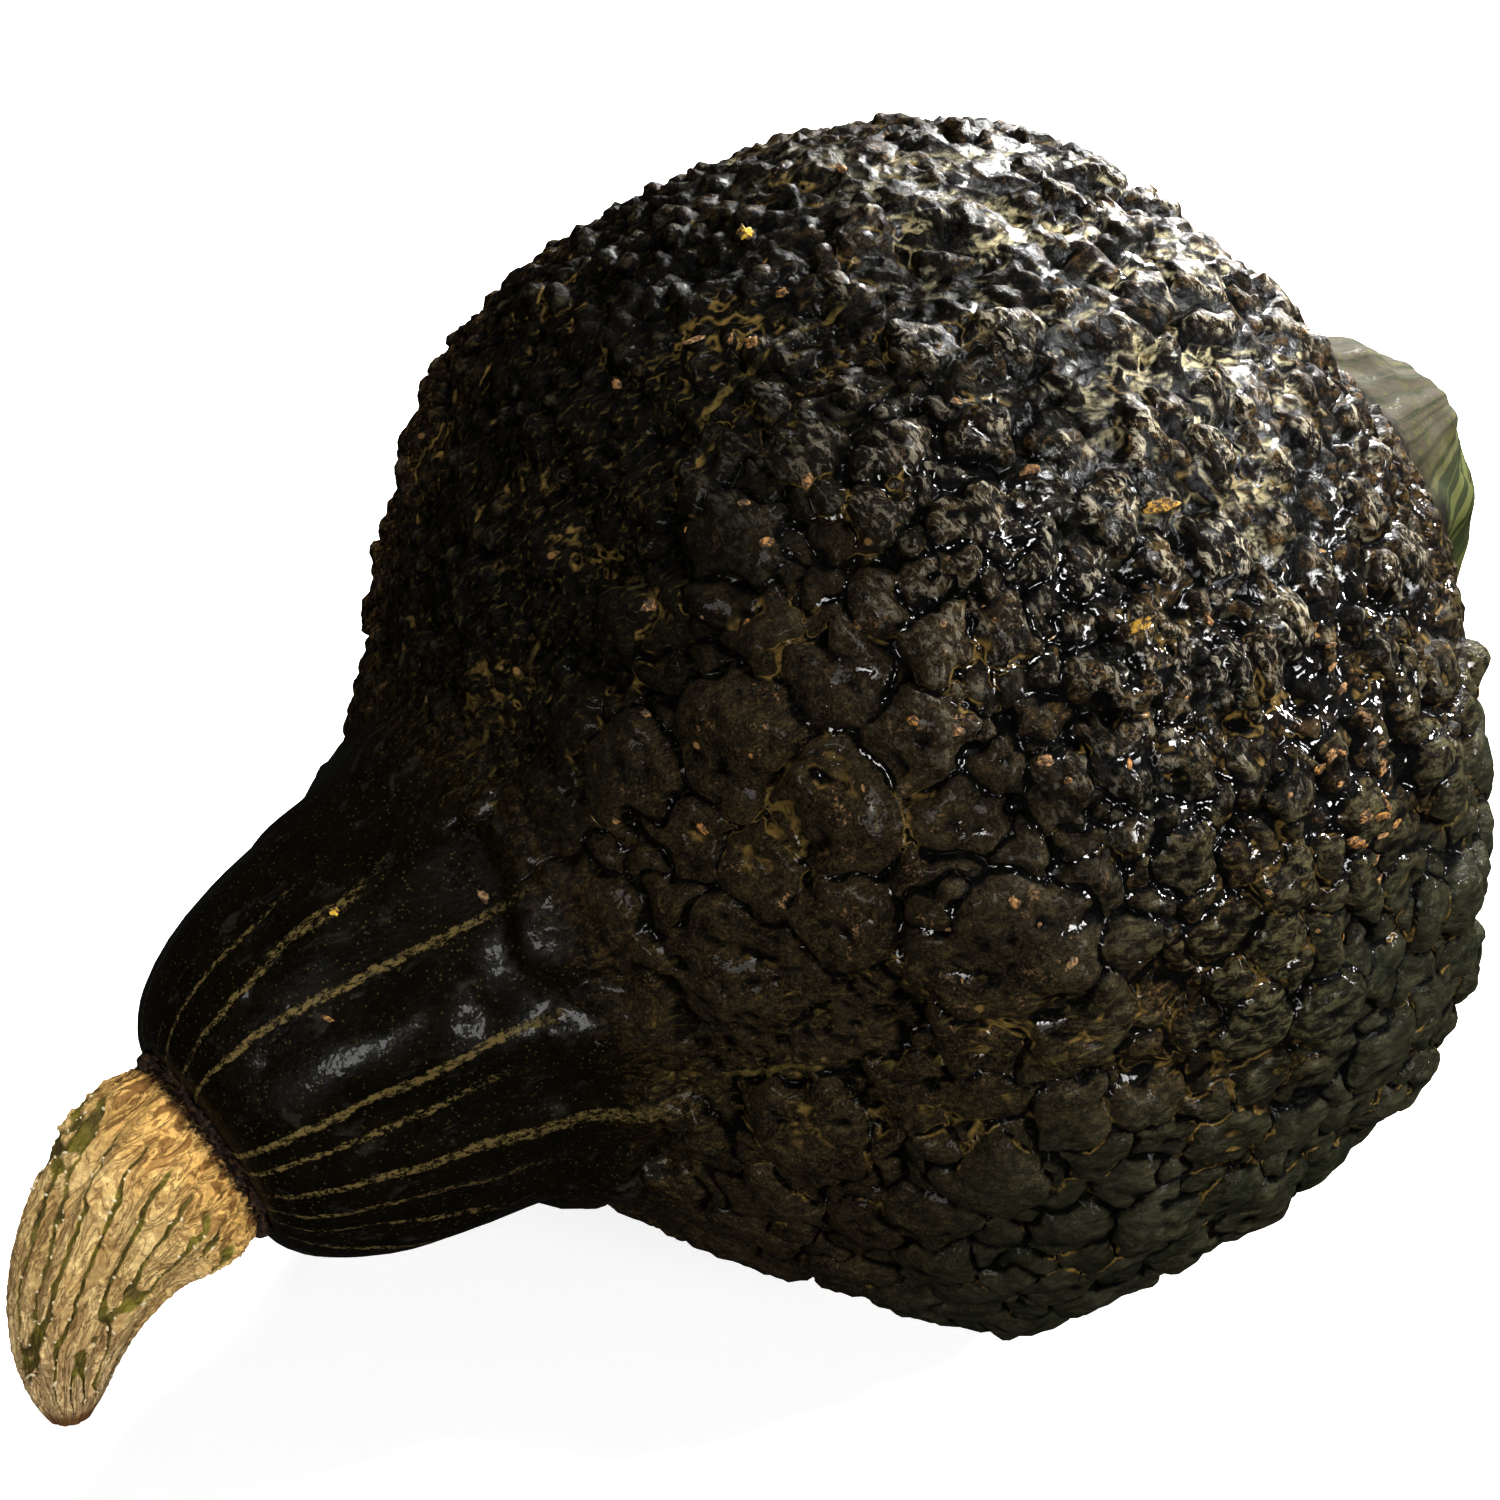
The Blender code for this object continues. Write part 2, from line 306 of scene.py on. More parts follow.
def raise_warts(top, second, warts):
    """Lift the skin over each wart, and keep the two highest heights, whose meeting is a crease."""
    for share, angle, reach, rise, flatness in warts:
        middle = bare_skin(np.array(share), np.array(angle))
        radius = max(float(outline_at(FRUIT_OUTLINE, share)[1]), 0.01)
        ring_span = int(1.5 * reach / ring_step) + 2
        turn_span = int(1.3 * reach * RIND_SEGMENTS / (2 * math.pi * radius)) + 2
        ring, turn = grid_place(share, angle)
        rings = np.arange(max(ring - ring_span, 0), min(ring + ring_span, RIND_RINGS - 1))
        turns = np.arange(turn - turn_span, turn + turn_span) % RIND_SEGMENTS
        block = np.ix_(rings, turns)
        gap = warped_skin[block] - middle
        gap[..., 0] *= 1 - 0.22 * lumps_here[ring, turn] + 0.55 * girdled_here[ring, turn]
        away = np.linalg.norm(gap, axis=-1) / reach
        height = rise * np.clip(1 - away ** flatness, 0, 1) ** (1.25 / flatness)
        second[block] = np.maximum(np.minimum(top[block], height), second[block])
        top[block] = np.maximum(top[block], height)


def fill_between(middles, spacings, tries, seed):
    """Smaller warts in the gaps: fine nodules on top, round lumps below, few among the plates."""
    draw = np.random.default_rng(seed)
    count = len(middles)
    spots, clear = np.zeros((count + tries, 3)), np.zeros(count + tries)
    spots[:count], clear[:count] = middles, 0.30 * spacings
    warts = []
    for share, angle, size, height, wanted in draw.random((tries, 5)):
        share, angle = WART_START + (WART_END - WART_START) * share, 2 * math.pi * angle
        ring, turn = grid_place(share, angle)
        plate, lump, nodule = plates_here[ring, turn], lumps_here[ring, turn], nodules_here[ring, turn]
        if share < skin_edge(angle) or wanted < max(0.80 * plate, 0.45 * lump):
            continue
        spacing = (0.0078 + 0.0018 * lump - 0.0014 * nodule) * (0.8 + 0.45 * size)
        gaps = np.linalg.norm(spots[:count] - skin[ring, turn], axis=1)
        if np.any(gaps < 0.5 * spacing + clear[:count]):
            continue
        spots[count], clear[count] = skin[ring, turn], 0.36 * spacing
        count += 1
        rise = spacing * (0.27 + 0.09 * lump - 0.05 * plate - 0.09 * nodule) * (0.65 + 0.7 * height)
        rise = rise * (1 - 0.85 * calm_here[ring, turn]) * (1 - 0.5 * girdled_here[ring, turn])
        rise = rise * vigour[ring, turn]
        warts.append((share, angle, 0.70 * spacing, rise, 2.3))
    return warts


vigour = 1.05 + 0.34 * np.clip(crumple(skin, 0.050, 61), -1.4, 1.3)
main_warts, main_middles, main_spacings = scatter_warts()
top_height, second_height = np.zeros(skin.shape[:2]), np.zeros(skin.shape[:2])
shaped = []
for share, angle, spacing, rise, plate in main_warts:
    ring, turn = grid_place(share, angle)
    rise = rise * (1 - 0.62 * nodules_here[ring, turn]) * (1 - 0.48 * girdled_here[ring, turn])
    rise = rise * (1 - calm_here[ring, turn]) * vigour[ring, turn]
    shaped.append((share, angle, (0.57 + 0.05 * plate) * spacing, rise, 2.3 + 2.4 * plate))
# The great lobed wart low on the right of the view, the round one beside it, and a few more
# that stand out: share, angle in degrees, reach, rise and flatness.
GREAT_WARTS = [
    (0.386, 164, 0.0200, 0.0062, 3.4), (0.402, 172, 0.0150, 0.0058, 3.0),
    (0.372, 171, 0.0130, 0.0052, 3.0), (0.364, 157, 0.0078, 0.0062, 2.3),
    (0.318, 113, 0.0072, 0.0046, 2.4), (0.330, 145, 0.0085, 0.0046, 2.6),
    (0.352, 142, 0.0080, 0.0044, 2.6), (0.350, 120, 0.0085, 0.0040, 2.4),
    (0.528, 149, 0.0092, 0.0048, 2.4),
]
raise_warts(top_height, second_height, [
    (share, math.radians(angle), *shape) for share, angle, *shape in GREAT_WARTS])
raise_warts(top_height, second_height, shaped)
raise_warts(top_height, second_height, fill_between(main_middles, main_spacings, 26000, 21))


def soften(field, reach):
    """The field averaged over its neighbours, up to reach places away each way."""
    weights = np.exp(-np.linspace(-1.8, 1.8, 2 * reach + 1) ** 2)
    weights /= weights.sum()
    across = sum(weight * np.roll(field, i - reach, axis=1) for i, weight in enumerate(weights))
    padded = np.pad(across, ((reach, reach), (0, 0)), mode="edge")
    return sum(weight * padded[i:i + len(field)] for i, weight in enumerate(weights))


clear_of_ground = fade(skin[..., 2], 0.0, GROUND_FADE)
crease = warted_here * (1 - fade(top_height - second_height, 0.0, 0.0012 + 0.0007 * plates_here))
heights = soften(top_height, 1)
joined = np.maximum(plates_here, 0.45 * rough_here) * fade(crumple(skin, 0.034, 51), -0.35, 0.55)
heights = (1 - joined) * heights + joined * np.maximum(heights, soften(heights, 8))
heights = heights - (0.0017 + 0.0008 * plates_here) * crease * (1 - 0.8 * joined)
uneven = 0.0006 * crumple(skin, 0.020, 8) + 0.00028 * crumple(skin, 0.007, 9)
chipped = rough_here * (0.00040 * crumple(skin, 0.0060, 10) + 0.00012 * crumple(skin, 0.0035, 11))
fibre_points = (skin + 0.0016 * crumple_ways(skin, 0.030, (71, 72, 73))) * (0.16, 1, 1)
fibres = crumple(fibre_points, 0.0034, 74) + 0.6 * crumple(fibre_points, 0.0022, 75)
flowing = np.clip(flow_here + 0.45 * mild_here + 0.4 * plates_here, 0, 1) * fade(ring_share, 0.18, 0.24)
neck_lumps = fade(ring_share, 0.085, 0.15) * (1 - warted_here)
neck_lumps = neck_lumps * np.clip(crumple(skin, 0.030, 76), -0.4, 1.6)
relief = clear_of_ground * (heights + warted_here * (uneven + chipped) + 0.00022 * flowing * fibres)
relief = relief + clear_of_ground * 0.0011 * neck_lumps
# Two small pits in the neck: share, angle in degrees, reach and depth.
NECK_PITS = [(0.099, 113.0, 0.0016, 0.0011), (0.090, 130.0, 0.0018, 0.0010)]
for share, angle, reach, depth in NECK_PITS:
    pit = bare_skin(np.array(share), np.array(math.radians(angle)))
    away = np.linalg.norm(skin - pit, axis=-1) / reach
    relief = relief - depth * np.exp(-away ** 2)
nub_here = fade(ring_share, 0.83, 0.87) * (1 - fade(ring_share, 0.985, 0.998))
nub_ridges = 0.00028 * np.cos(26 * turn_angle + 3 * ring_share)
relief = relief + nub_here * (nub_ridges + 0.0003 * crumple(skin * (0.4, 1, 1), 0.011, 77))
hollow = np.clip((soften(relief, 5) - relief) / 0.0009, -1, 1)


def closed_skin(name, rings):
    """A closed mesh from rings of points, with one more point at each end."""
    count, segments = rings.shape[:2]
    corner = np.arange(count * segments).reshape(count, segments)
    beside = np.roll(corner, -1, axis=1)
    quads = np.stack([corner[:-1], beside[:-1], beside[1:], corner[1:]], axis=-1).reshape(-1)
    first = np.full(segments, count * segments)
    fans = np.stack([first, beside[0], corner[0], first + 1, corner[-1], beside[-1]], axis=-1).reshape(-1)
    sides = np.concatenate([np.full(len(quads) // 4, 4), np.full(len(fans) // 3, 3)])
    data = bpy.data.meshes.new(name)
    data.vertices.add(count * segments + 2)
    data.loops.add(len(quads) + len(fans))
    data.polygons.add(len(sides))
    ends = np.stack([rings[0].mean(axis=0), rings[-1].mean(axis=0)])
    data.vertices.foreach_set("co", np.concatenate([rings.reshape(-1, 3), ends]).ravel())
    data.loops.foreach_set("vertex_index", np.concatenate([quads, fans]).astype(np.int32))
    data.polygons.foreach_set("loop_start", (np.cumsum(sides) - sides).astype(np.int32))
    data.update(calc_edges=True)
    data.validate()
    return put_in_scene(name, data)


def corner_values(rings):
    """One value for each corner of a closed skin, whose ends take their ring's mean."""
    flat = rings.reshape(-1, *rings.shape[2:])
    return np.concatenate([flat, rings[0].mean(axis=0)[None], rings[-1].mean(axis=0)[None]])


def read_values(data, slot, width):
    values = np.empty(width * len(data))
    data.foreach_get(slot, values)
    return values.reshape(-1, width)


def lift_corners(piece, rings, ways, heights):
    """Move each corner of a closed skin by its height, the way it faces."""
    data = piece.data
    data.vertices.foreach_set("co", (corner_values(rings) + ways * corner_values(heights)[:, None]).ravel())
    data.update()


rind = closed_skin("rind", skin)
lift_corners(rind, skin, read_values(rind.data.vertex_normals, "vector", 3), relief)


def keep_on_skin(piece, name, rings, grid):
    """Store a field of the skin's grid on its corners, for the finishes to read."""
    values = corner_values(np.broadcast_to(rings, grid + rings.shape[2:]))
    kind, slot = ("FLOAT_VECTOR", "vector") if rings.ndim == 3 else ("FLOAT", "value")
    field = piece.data.attributes.new(name, kind, "POINT")
    field.data.foreach_set(slot, values.astype(np.float32).ravel())


# The neck's stripes drift round it as they run: how far, in degrees per whole length, by angle.
DRIFT_ANGLES = (0, 60, 92, 106, 124, 154, 163, 177, 187, 196, 210, 235, 265, 360)
STRIPE_DRIFT = (0, 0, 0, -20, 120, 30, 20, 60, 90, 150, 170, 120, 0, 0)
drift = np.radians(np.interp(np.degrees(turn_angle), DRIFT_ANGLES, STRIPE_DRIFT))
drift = drift * (np.minimum(ring_share, 0.24) - 0.10) * (1 - fade(ring_share, 0.20, 0.30))
stripe_angle = turn_angle - drift
places = np.stack(np.broadcast_arrays(ring_share, np.cos(stripe_angle), np.sin(stripe_angle)), axis=-1)
nodule_room = warted_here * clear_of_ground * (1 - lumps_here) * (1 - 0.9 * plates_here * (1 - mild_here))
nodule_room = nodule_room * (0.25 + 0.75 * np.maximum(nodules_here, mild_here)) * (1 - 0.75 * flow_here)
nodule_room = nodule_room * (1 - 0.8 * girdled_here)
scabbed = fade(np.sin(turn_angle), -0.1, 0.3) * fade(ring_share, 0.26, 0.34)
scabbed = scabbed * (1 - fade(ring_share, 0.70, 0.76)) * fade(relief, 0.0020, 0.0032)
for name, field in (
    ("place", places), ("relief", relief / 0.005), ("hollow", hollow), ("nodule_room", nodule_room),
    ("flow", flowing), ("roughness_room", warted_here * clear_of_ground * (1 - 0.55 * lumps_here)),
    ("scab_room", scabbed * (crumple(skin, 0.05, 12) > -0.2)),
):
    keep_on_skin(rind, name, field, skin.shape[:2])


def add_node(tree, kind, sockets=None, **settings):
    made = tree.nodes.new(kind)
    for setting, value in settings.items():
        setattr(made, setting, value)
    for key, value in (sockets or {}).items():
        if is_socket(value):
            tree.links.new(value, made.inputs[key])
        else:
            made.inputs[key].default_value = value
    return made


def is_socket(value):
    return isinstance(value, bpy.types.NodeSocket)


def figure(operation, *values):
    """A Math node in the tree of the first socket among the values."""
    tree = next(value.id_data for value in values if is_socket(value))
    return add_node(tree, "ShaderNodeMath", dict(enumerate(values)), operation=operation).outputs[0]


def stretch(value, low, high, to_low=0.0, to_high=1.0):
    """A smooth step from to_low, at low, to to_high, at high. A plain number gives a number."""
    if not is_socket(value):
        return float(to_low + (to_high - to_low) * fade(value, low, high))
    sockets = {"Value": value, "From Min": low, "From Max": high, "To Min": to_low, "To Max": to_high}
    smooth = add_node(value.id_data, "ShaderNodeMapRange", sockets, interpolation_type="SMOOTHSTEP")
    return smooth.outputs["Result"]


def times(*values):
    """The product of sockets and numbers, with no node for what is known beforehand."""
    known = math.prod(value for value in values if not is_socket(value))
    linked = [value for value in values if is_socket(value)]
    if known == 0 or not linked:
        return float(known)
    total = linked[0]
    for value in linked[1:]:
        total = figure("MULTIPLY", total, value)
    return total if known == 1 else figure("MULTIPLY", total, known)


def vector_figure(tree, operation, output, sockets):
    return add_node(tree, "ShaderNodeVectorMath", sockets, operation=operation).outputs[output]


def stored(tree, name):
    """A field that is stored on the points of a mesh, for a Geometry Nodes tree."""
    return add_node(tree, "GeometryNodeInputNamedAttribute", {"Name": name}, data_type="FLOAT").outputs[0]


def open_tree(name, inputs):
    """A new Geometry Nodes tree with the named inputs, and their sockets."""
    tree = bpy.data.node_groups.new(name, "GeometryNodeTree")
    for label, kind in inputs:
        tree.interface.new_socket(label, in_out="INPUT", socket_type="NodeSocket" + kind)
    tree.interface.new_socket("Geometry", in_out="OUTPUT", socket_type="NodeSocketGeometry")
    return tree, tree.nodes.new("NodeGroupInput").outputs


def close_tree(tree, geometry, finish):
    """End a Geometry Nodes tree in real faces that wear the finish."""
    real = add_node(tree, "GeometryNodeRealizeInstances", {"Geometry": geometry}).outputs[0]
    worn = add_node(tree, "GeometryNodeSetMaterial", {"Geometry": real, "Material": finish}).outputs[0]
    add_node(tree, "NodeGroupOutput", {"Geometry": worn})


def keep_field(tree, geometry, name, value):
    sockets = {"Geometry": geometry, "Name": name, "Value": value}
    kept = add_node(tree, "GeometryNodeStoreNamedAttribute", sockets, data_type="FLOAT", domain="POINT")
    return kept.outputs["Geometry"]


def random_number(tree, low, high, seed):
    sockets = {2: low, 3: high, "Seed": seed}
    return add_node(tree, "FunctionNodeRandomValue", sockets, data_type="FLOAT").outputs[1]


def strew_points(tree, host, gap, crowding, chosen, seed):
    """Points strewn over the host's chosen faces, no two of them closer than the gap."""
    return add_node(tree, "GeometryNodeDistributePointsOnFaces", {
        "Mesh": host, "Distance Min": gap, "Density Max": figure("DIVIDE", crowding, times(gap, gap)),
        "Density Factor": chosen, "Seed": seed,
    }, distribute_method="POISSON").outputs


def make_nodule_tree():
    """Small warts strewn over the skin, and fine wrinkles, both only where their fields allow."""
    labels = ("Nodule gap", "Nodule reach", "Nodule rise", "Wrinkle size", "Wrinkle rise")
    tree, given = open_tree("small_nodules", [
        ("Geometry", "Geometry"), *((label, "Float") for label in labels), ("Skin", "Material")])
    room, rough = stored(tree, "nodule_room"), stored(tree, "roughness_room")
    chosen = figure("GREATER_THAN", room, 0.12)
    strewn = strew_points(tree, given["Geometry"], given["Nodule gap"], 1.4, chosen, 5)
    sized = keep_field(tree, strewn["Points"], "girth", random_number(tree, 0.55, 1.15, 3))
    here = tree.nodes.new("GeometryNodeInputPosition").outputs[0]
    nearest = add_node(tree, "GeometryNodeSampleNearest", {"Geometry": sized}, domain="POINT").outputs[0]

    def at_nearest(value, kind):
        sockets = {"Geometry": sized, "Value": value, "Index": nearest}
        return add_node(tree, "GeometryNodeSampleIndex", sockets, data_type=kind, domain="POINT").outputs[0]

    middle, girth = at_nearest(here, "FLOAT_VECTOR"), at_nearest(stored(tree, "girth"), "FLOAT")
    away = vector_figure(tree, "DISTANCE", "Value", {0: here, 1: middle})
    part = figure("MINIMUM", figure("DIVIDE", away, times(given["Nodule reach"], girth)), 1.0)
    dome = figure("SQRT", figure("SUBTRACT", 1.0, times(part, part)))
    dome = times(dome, stretch(room, 0.05, 0.7))
    waves = add_node(tree, "ShaderNodeTexNoise", {
        "Vector": here, "Scale": figure("DIVIDE", 1.0, given["Wrinkle size"]), "Detail": 3.0,
        "Roughness": 0.55, "Distortion": 0.6,
    }).outputs[0]
    waves = times(figure("SUBTRACT", waves, 0.5), rough)
    lift = figure("ADD", times(dome, girth, given["Nodule rise"]), times(waves, given["Wrinkle rise"]))
    normal = tree.nodes.new("GeometryNodeInputNormal").outputs[0]
    move = vector_figure(tree, "SCALE", 0, {0: normal, "Scale": lift})
    sockets = {"Geometry": given["Geometry"], "Offset": move}
    moved = add_node(tree, "GeometryNodeSetPosition", sockets).outputs[0]
    close_tree(tree, keep_field(tree, moved, "nodule", dome), given["Skin"])
    return tree


def set_inputs(modifier, values):
    """Give a Geometry Nodes modifier its named inputs."""
    for item in modifier.node_group.interface.items_tree:
        if item.item_type == "SOCKET" and item.in_out == "INPUT" and item.name in values:
            modifier[item.identifier] = values[item.name]


def settle(piece):
    """Turn a piece's modifiers into a plain mesh of its own."""
    plain = bpy.data.meshes.new_from_object(piece.evaluated_get(bpy.context.evaluated_depsgraph_get()))
    piece.modifiers.clear()
    piece.data = plain
    plain.name = piece.name
    plain.shade_smooth()


def noise(where, size, detail=3.0, roughness=0.55, distortion=0.0):
    sockets = {"Vector": where, "Scale": 1 / size, "Detail": detail, "Roughness": roughness,
               "Distortion": distortion}
    return add_node(where.id_data, "ShaderNodeTexNoise", sockets).outputs[0]


def blend(part, first, second):
    """The first number where the part is 0, and the second where it is 1."""
    if not is_socket(part):
        return second if part == 1 else first
    return add_node(part.id_data, "ShaderNodeMix", {0: part, 2: first, 3: second}).outputs[0]


def tint(part, under, over):
    """The colour over laid on the colour under, as strongly as the part says."""
    if not is_socket(part):
        return under
    under, over = (colour if is_socket(colour) else (*colour, 1) for colour in (under, over))
    sockets = {0: part, 6: under, 7: over}
    return add_node(part.id_data, "ShaderNodeMix", sockets, data_type="RGBA").outputs[2]


def field_of(tree, name, output="Fac"):
    """A field that is stored on the points of a mesh, for a finish."""
    return add_node(tree, "ShaderNodeAttribute", attribute_name=name).outputs[output]


def bump_of(height, depth):
    return add_node(height.id_data, "ShaderNodeBump", {"Height": height, "Distance": depth}).outputs[0]


def scaled(where, by):
    return vector_figure(where.id_data, "MULTIPLY", 0, {0: where, 1: by})


def band(value, rise_from, full_from, full_to, fall_to):
    return times(stretch(value, rise_from, full_from), stretch(value, full_to, fall_to, 1, 0))


# Angle, half width, first and last share and strength of each pale stripe on the neck.
NECK_STRIPES = [
    (84, 1.2, 0.030, 0.120, 0.35), (93, 1.9, 0.018, 0.165, 0.85), (108, 2.6, 0.018, 0.190, 0.80),
    (122, 2.7, 0.018, 0.235, 0.95), (133, 1.1, 0.020, 0.075, 0.70), (154, 2.5, 0.015, 0.230, 1.00),
    (163, 2.2, 0.022, 0.190, 0.85), (176, 2.4, 0.050, 0.270, 0.90), (187, 2.0, 0.030, 0.200, 0.80),
    (198, 1.7, 0.040, 0.180, 0.70), (212, 2.0, 0.050, 0.190, 0.80), (229, 2.6, 0.050, 0.210, 0.80),
    (247, 1.6, 0.040, 0.190, 0.60), (266, 3.0, 0.025, 0.220, 0.85), (291, 2.2, 0.030, 0.200, 0.75),
    (309, 2.8, 0.022, 0.240, 0.90), (331, 1.6, 0.030, 0.180, 0.60), (352, 3.0, 0.025, 0.230, 0.85),
    (14, 2.0, 0.030, 0.200, 0.70), (39, 2.8, 0.022, 0.230, 0.90), (62, 1.8, 0.025, 0.170, 0.65),
]
STRIPE_WIDTH = 0.66
BODY_LINE_WIDTH = 0.55
# The rind's colours, from the darkest to the palest.
# The darkest is painted shade, for the creases and the deepest pits.
PAINTED_SHADE_BLACK = (0.0009, 0.0007, 0.0004)
PATCH_BLACK = (0.0034, 0.0028, 0.0017)
BLACK_GREEN = (0.0034, 0.0030, 0.0013)
PLATE_DARK, PLATE_PALE = (0.0058, 0.0042, 0.0018), (0.036, 0.0275, 0.0138)
PLATE_SHADE, PLATE_DUST = (0.006, 0.004, 0.002), (0.105, 0.075, 0.038)
LUMP_SHADE, LUMP_DARK, LUMP_PALE = (0.008, 0.008, 0.004), (0.026, 0.028, 0.015), (0.062, 0.058, 0.034)
DARK_BROWN = (0.0100, 0.0058, 0.0022)
NUB_DARK, NUB_GREEN, NUB_GREY = (0.020, 0.026, 0.008), (0.076, 0.080, 0.026), (0.056, 0.045, 0.031)
NUB_SCAR = (0.110, 0.062, 0.026)
NECK_BLOOM, NECK_DOT = (0.065, 0.060, 0.046), (0.085, 0.070, 0.026)
NODULE_GREY = (0.085, 0.072, 0.044)
OLIVE, GREY_GREEN, MOSS = (0.100, 0.059, 0.020), (0.100, 0.082, 0.036), (0.088, 0.090, 0.046)
KHAKI, YELLOW_OLIVE, OLIVE_YELLOW = (0.190, 0.142, 0.056), (0.20, 0.15, 0.045), (0.26, 0.175, 0.055)
BROWN_DUST, TAN, RUBBED_TAN_HIGHLIGHT = (0.30, 0.185, 0.082), (0.36, 0.22, 0.09), (0.36, 0.215, 0.110)
GROUND_YELLOW = (0.50, 0.25, 0.06)
ASHEN, CREAM = (0.50, 0.45, 0.34), (0.62, 0.56, 0.36)


def nearness(wandering, angle):
    """The cosine of the turn between a place of the skin and an angle round the fruit."""
    heading = (0.0, math.cos(math.radians(angle)), math.sin(math.radians(angle)))
    return vector_figure(wandering.id_data, "DOT_PRODUCT", "Value", {0: wandering, 1: heading})


def stripe_edge(near, half_width):
    half_width = math.radians(half_width)
    return stretch(near, math.cos(half_width), math.cos(0.35 * half_width))


def make_rind_finish(name, whole):
    """Dark wax. Without the neck and the nub, where whole is false, it is quicker to render."""
    finish, coat, shader = new_finish(name)
    here = add_node(coat, "ShaderNodeTexCoord").outputs["Object"]
    place = field_of(coat, "place", "Vector")
    share, side, top = add_node(coat, "ShaderNodeSeparateXYZ", {0: place}).outputs
    height_here = add_node(coat, "ShaderNodeSeparateXYZ", {0: here}).outputs["Z"]
    raised, sunken = field_of(coat, "relief"), field_of(coat, "hollow")
    flowing_here, domed = field_of(coat, "flow"), field_of(coat, "nodule")
    along_fruit, across_fruit = scaled(here, (0.45, 1.0, 1.0)), scaled(here, (1.0, 0.36, 0.6))
    streaky = noise(along_fruit, 0.0085, 4.0, 0.62, 0.9)
    middling = noise(here, 0.010, 4.0, 0.6, 0.8)
    small = noise(here, 0.0032, 4.0, 0.6, 0.5)
    grain = noise(here, 0.0008, 3.0, 0.7)
    threads = noise(along_fruit, 0.0019, 6.0, 0.72, 0.45)

    # Where each kind of skin lies: the bulb, its plates, its rough and shaded sides and its lumps.
    bulb = band(share, 0.20, 0.26, 0.80, 0.86) if whole else 1.0
    upside = stretch(top, -0.25, 0.55)
    sun_side = stretch(side, 0.06, -0.22)
    green_side = times(stretch(share, 0.33, 0.44), stretch(top, 0.65, 0.15), bulb)
    plate_side = times(stretch(share, 0.21, 0.26), stretch(share, 0.47, 0.40))
    plate_side = times(plate_side, stretch(top, 0.99, 0.90), stretch(side, 0.10, -0.10))
    dark_side = times(stretch(top, 0.72, 0.97), stretch(share, 0.60, 0.40))
    rough_place = times(band(share, 0.34, 0.46, 0.62, 0.74), stretch(top, 0.10, 0.50))
    lump_side = times(stretch(top, 0.12, -0.30), stretch(share, 0.30, 0.40))
    lump_side = figure("MAXIMUM", lump_side, times(stretch(top, 0.30, 0.00), stretch(share, 0.48, 0.56)))

    # The ground colours of the bulb, from dark brown to the grey and green of its warts.
    browned = times(stretch(middling, 0.36, 0.62), stretch(bulb, 0, 1, 0.4, 1.0))
    colour = tint(browned, BLACK_GREEN, DARK_BROWN)
    colour = tint(times(bulb, stretch(threads, 0.47, 0.64), 0.90), colour, OLIVE)
    lump_top = times(bulb, stretch(raised, 0.20, 0.80), stretch(threads, 0.49, 0.66))
    colour = tint(times(lump_top, stretch(upside, 0.0, 1.0, 0.90, 0.55)), colour, GREY_GREEN)
    dusty = times(bulb, stretch(grain, 0.54, 0.70), stretch(threads, 0.42, 0.58), 0.9)
    colour = tint(dusty, colour, BROWN_DUST)
    mossy = times(green_side, stretch(threads, 0.44, 0.60), stretch(raised, 0.0, 0.5), 0.75)
    colour = tint(mossy, colour, MOSS)
    soft_brown = tint(stretch(noise(here, 0.0075, 5.0, 0.66), 0.36, 0.64), PLATE_DARK, PLATE_PALE)
    speckle = noise(here, 0.00055, 2.0, 0.7)
    soft_brown = tint(times(stretch(speckle, 0.50, 0.66), 0.60), soft_brown, PLATE_DUST)
    soft_brown = tint(times(stretch(speckle, 0.48, 0.34), 0.60), soft_brown, PLATE_SHADE)
    colour = tint(times(plate_side, 0.74), colour, soft_brown)
    # Rubbed tan patches on raised tops of the upper side: partly real wear, partly a painted highlight.
    rubbed_and_highlight = times(stretch(noise(here, 0.0065, 4.0, 0.7), 0.58, 0.66), stretch(raised, 0.35, 0.75))
    colour = tint(times(rubbed_and_highlight, stretch(grain, 0.46, 0.62), upside, bulb, 0.8), colour, RUBBED_TAN_HIGHLIGHT)
    colour = tint(times(bulb, dark_side, 0.90), colour, BLACK_GREEN)
    dab = times(stretch(domed, 0.40, 0.80), stretch(small, 0.46, 0.60), bulb, 0.7)
    colour = tint(dab, colour, NODULE_GREY)

    # The rough side, black, with an ash-grey bloom that is partly painted sheen, and the smooth green lumps
    # below.
    bloom_and_sheen_side = times(stretch(share, 0.42, 0.54, 0.35, 1.0), stretch(top, 0.30, 0.75, 0.3, 1.0))
    bloom_and_sheen_side = times(bloom_and_sheen_side, stretch(sun_side, 0, 1, 0.35, 1.0))
    scratchy = noise(across_fruit, 0.0016, 6.0, 0.75, 0.4)
    # Random black patches over the rough side.
    black_patches = times(rough_place, stretch(noise(here, 0.013, 4.0, 0.68, 0.6), 0.43, 0.55), 0.90)
    colour = tint(black_patches, colour, PATCH_BLACK)
    # Ash-grey bloom that is partly painted sheen: it is laid on raised tops, stronger on the upper side and
    # on the front side.
    ash_bloom_and_sheen = times(rough_place, bloom_and_sheen_side, stretch(raised, 0.12, 0.58), stretch(scratchy, 0.505, 0.59))
    colour = tint(ash_bloom_and_sheen, colour, ASHEN)
    smooth_green = tint(stretch(noise(here, 0.012, 3.0, 0.55), 0.36, 0.64), LUMP_DARK, LUMP_PALE)
    smooth_green = tint(stretch(threads, 0.40, 0.66, 0.55, 0.0), smooth_green, LUMP_SHADE)
    colour = tint(times(lump_side, bulb, 0.85), colour, smooth_green)
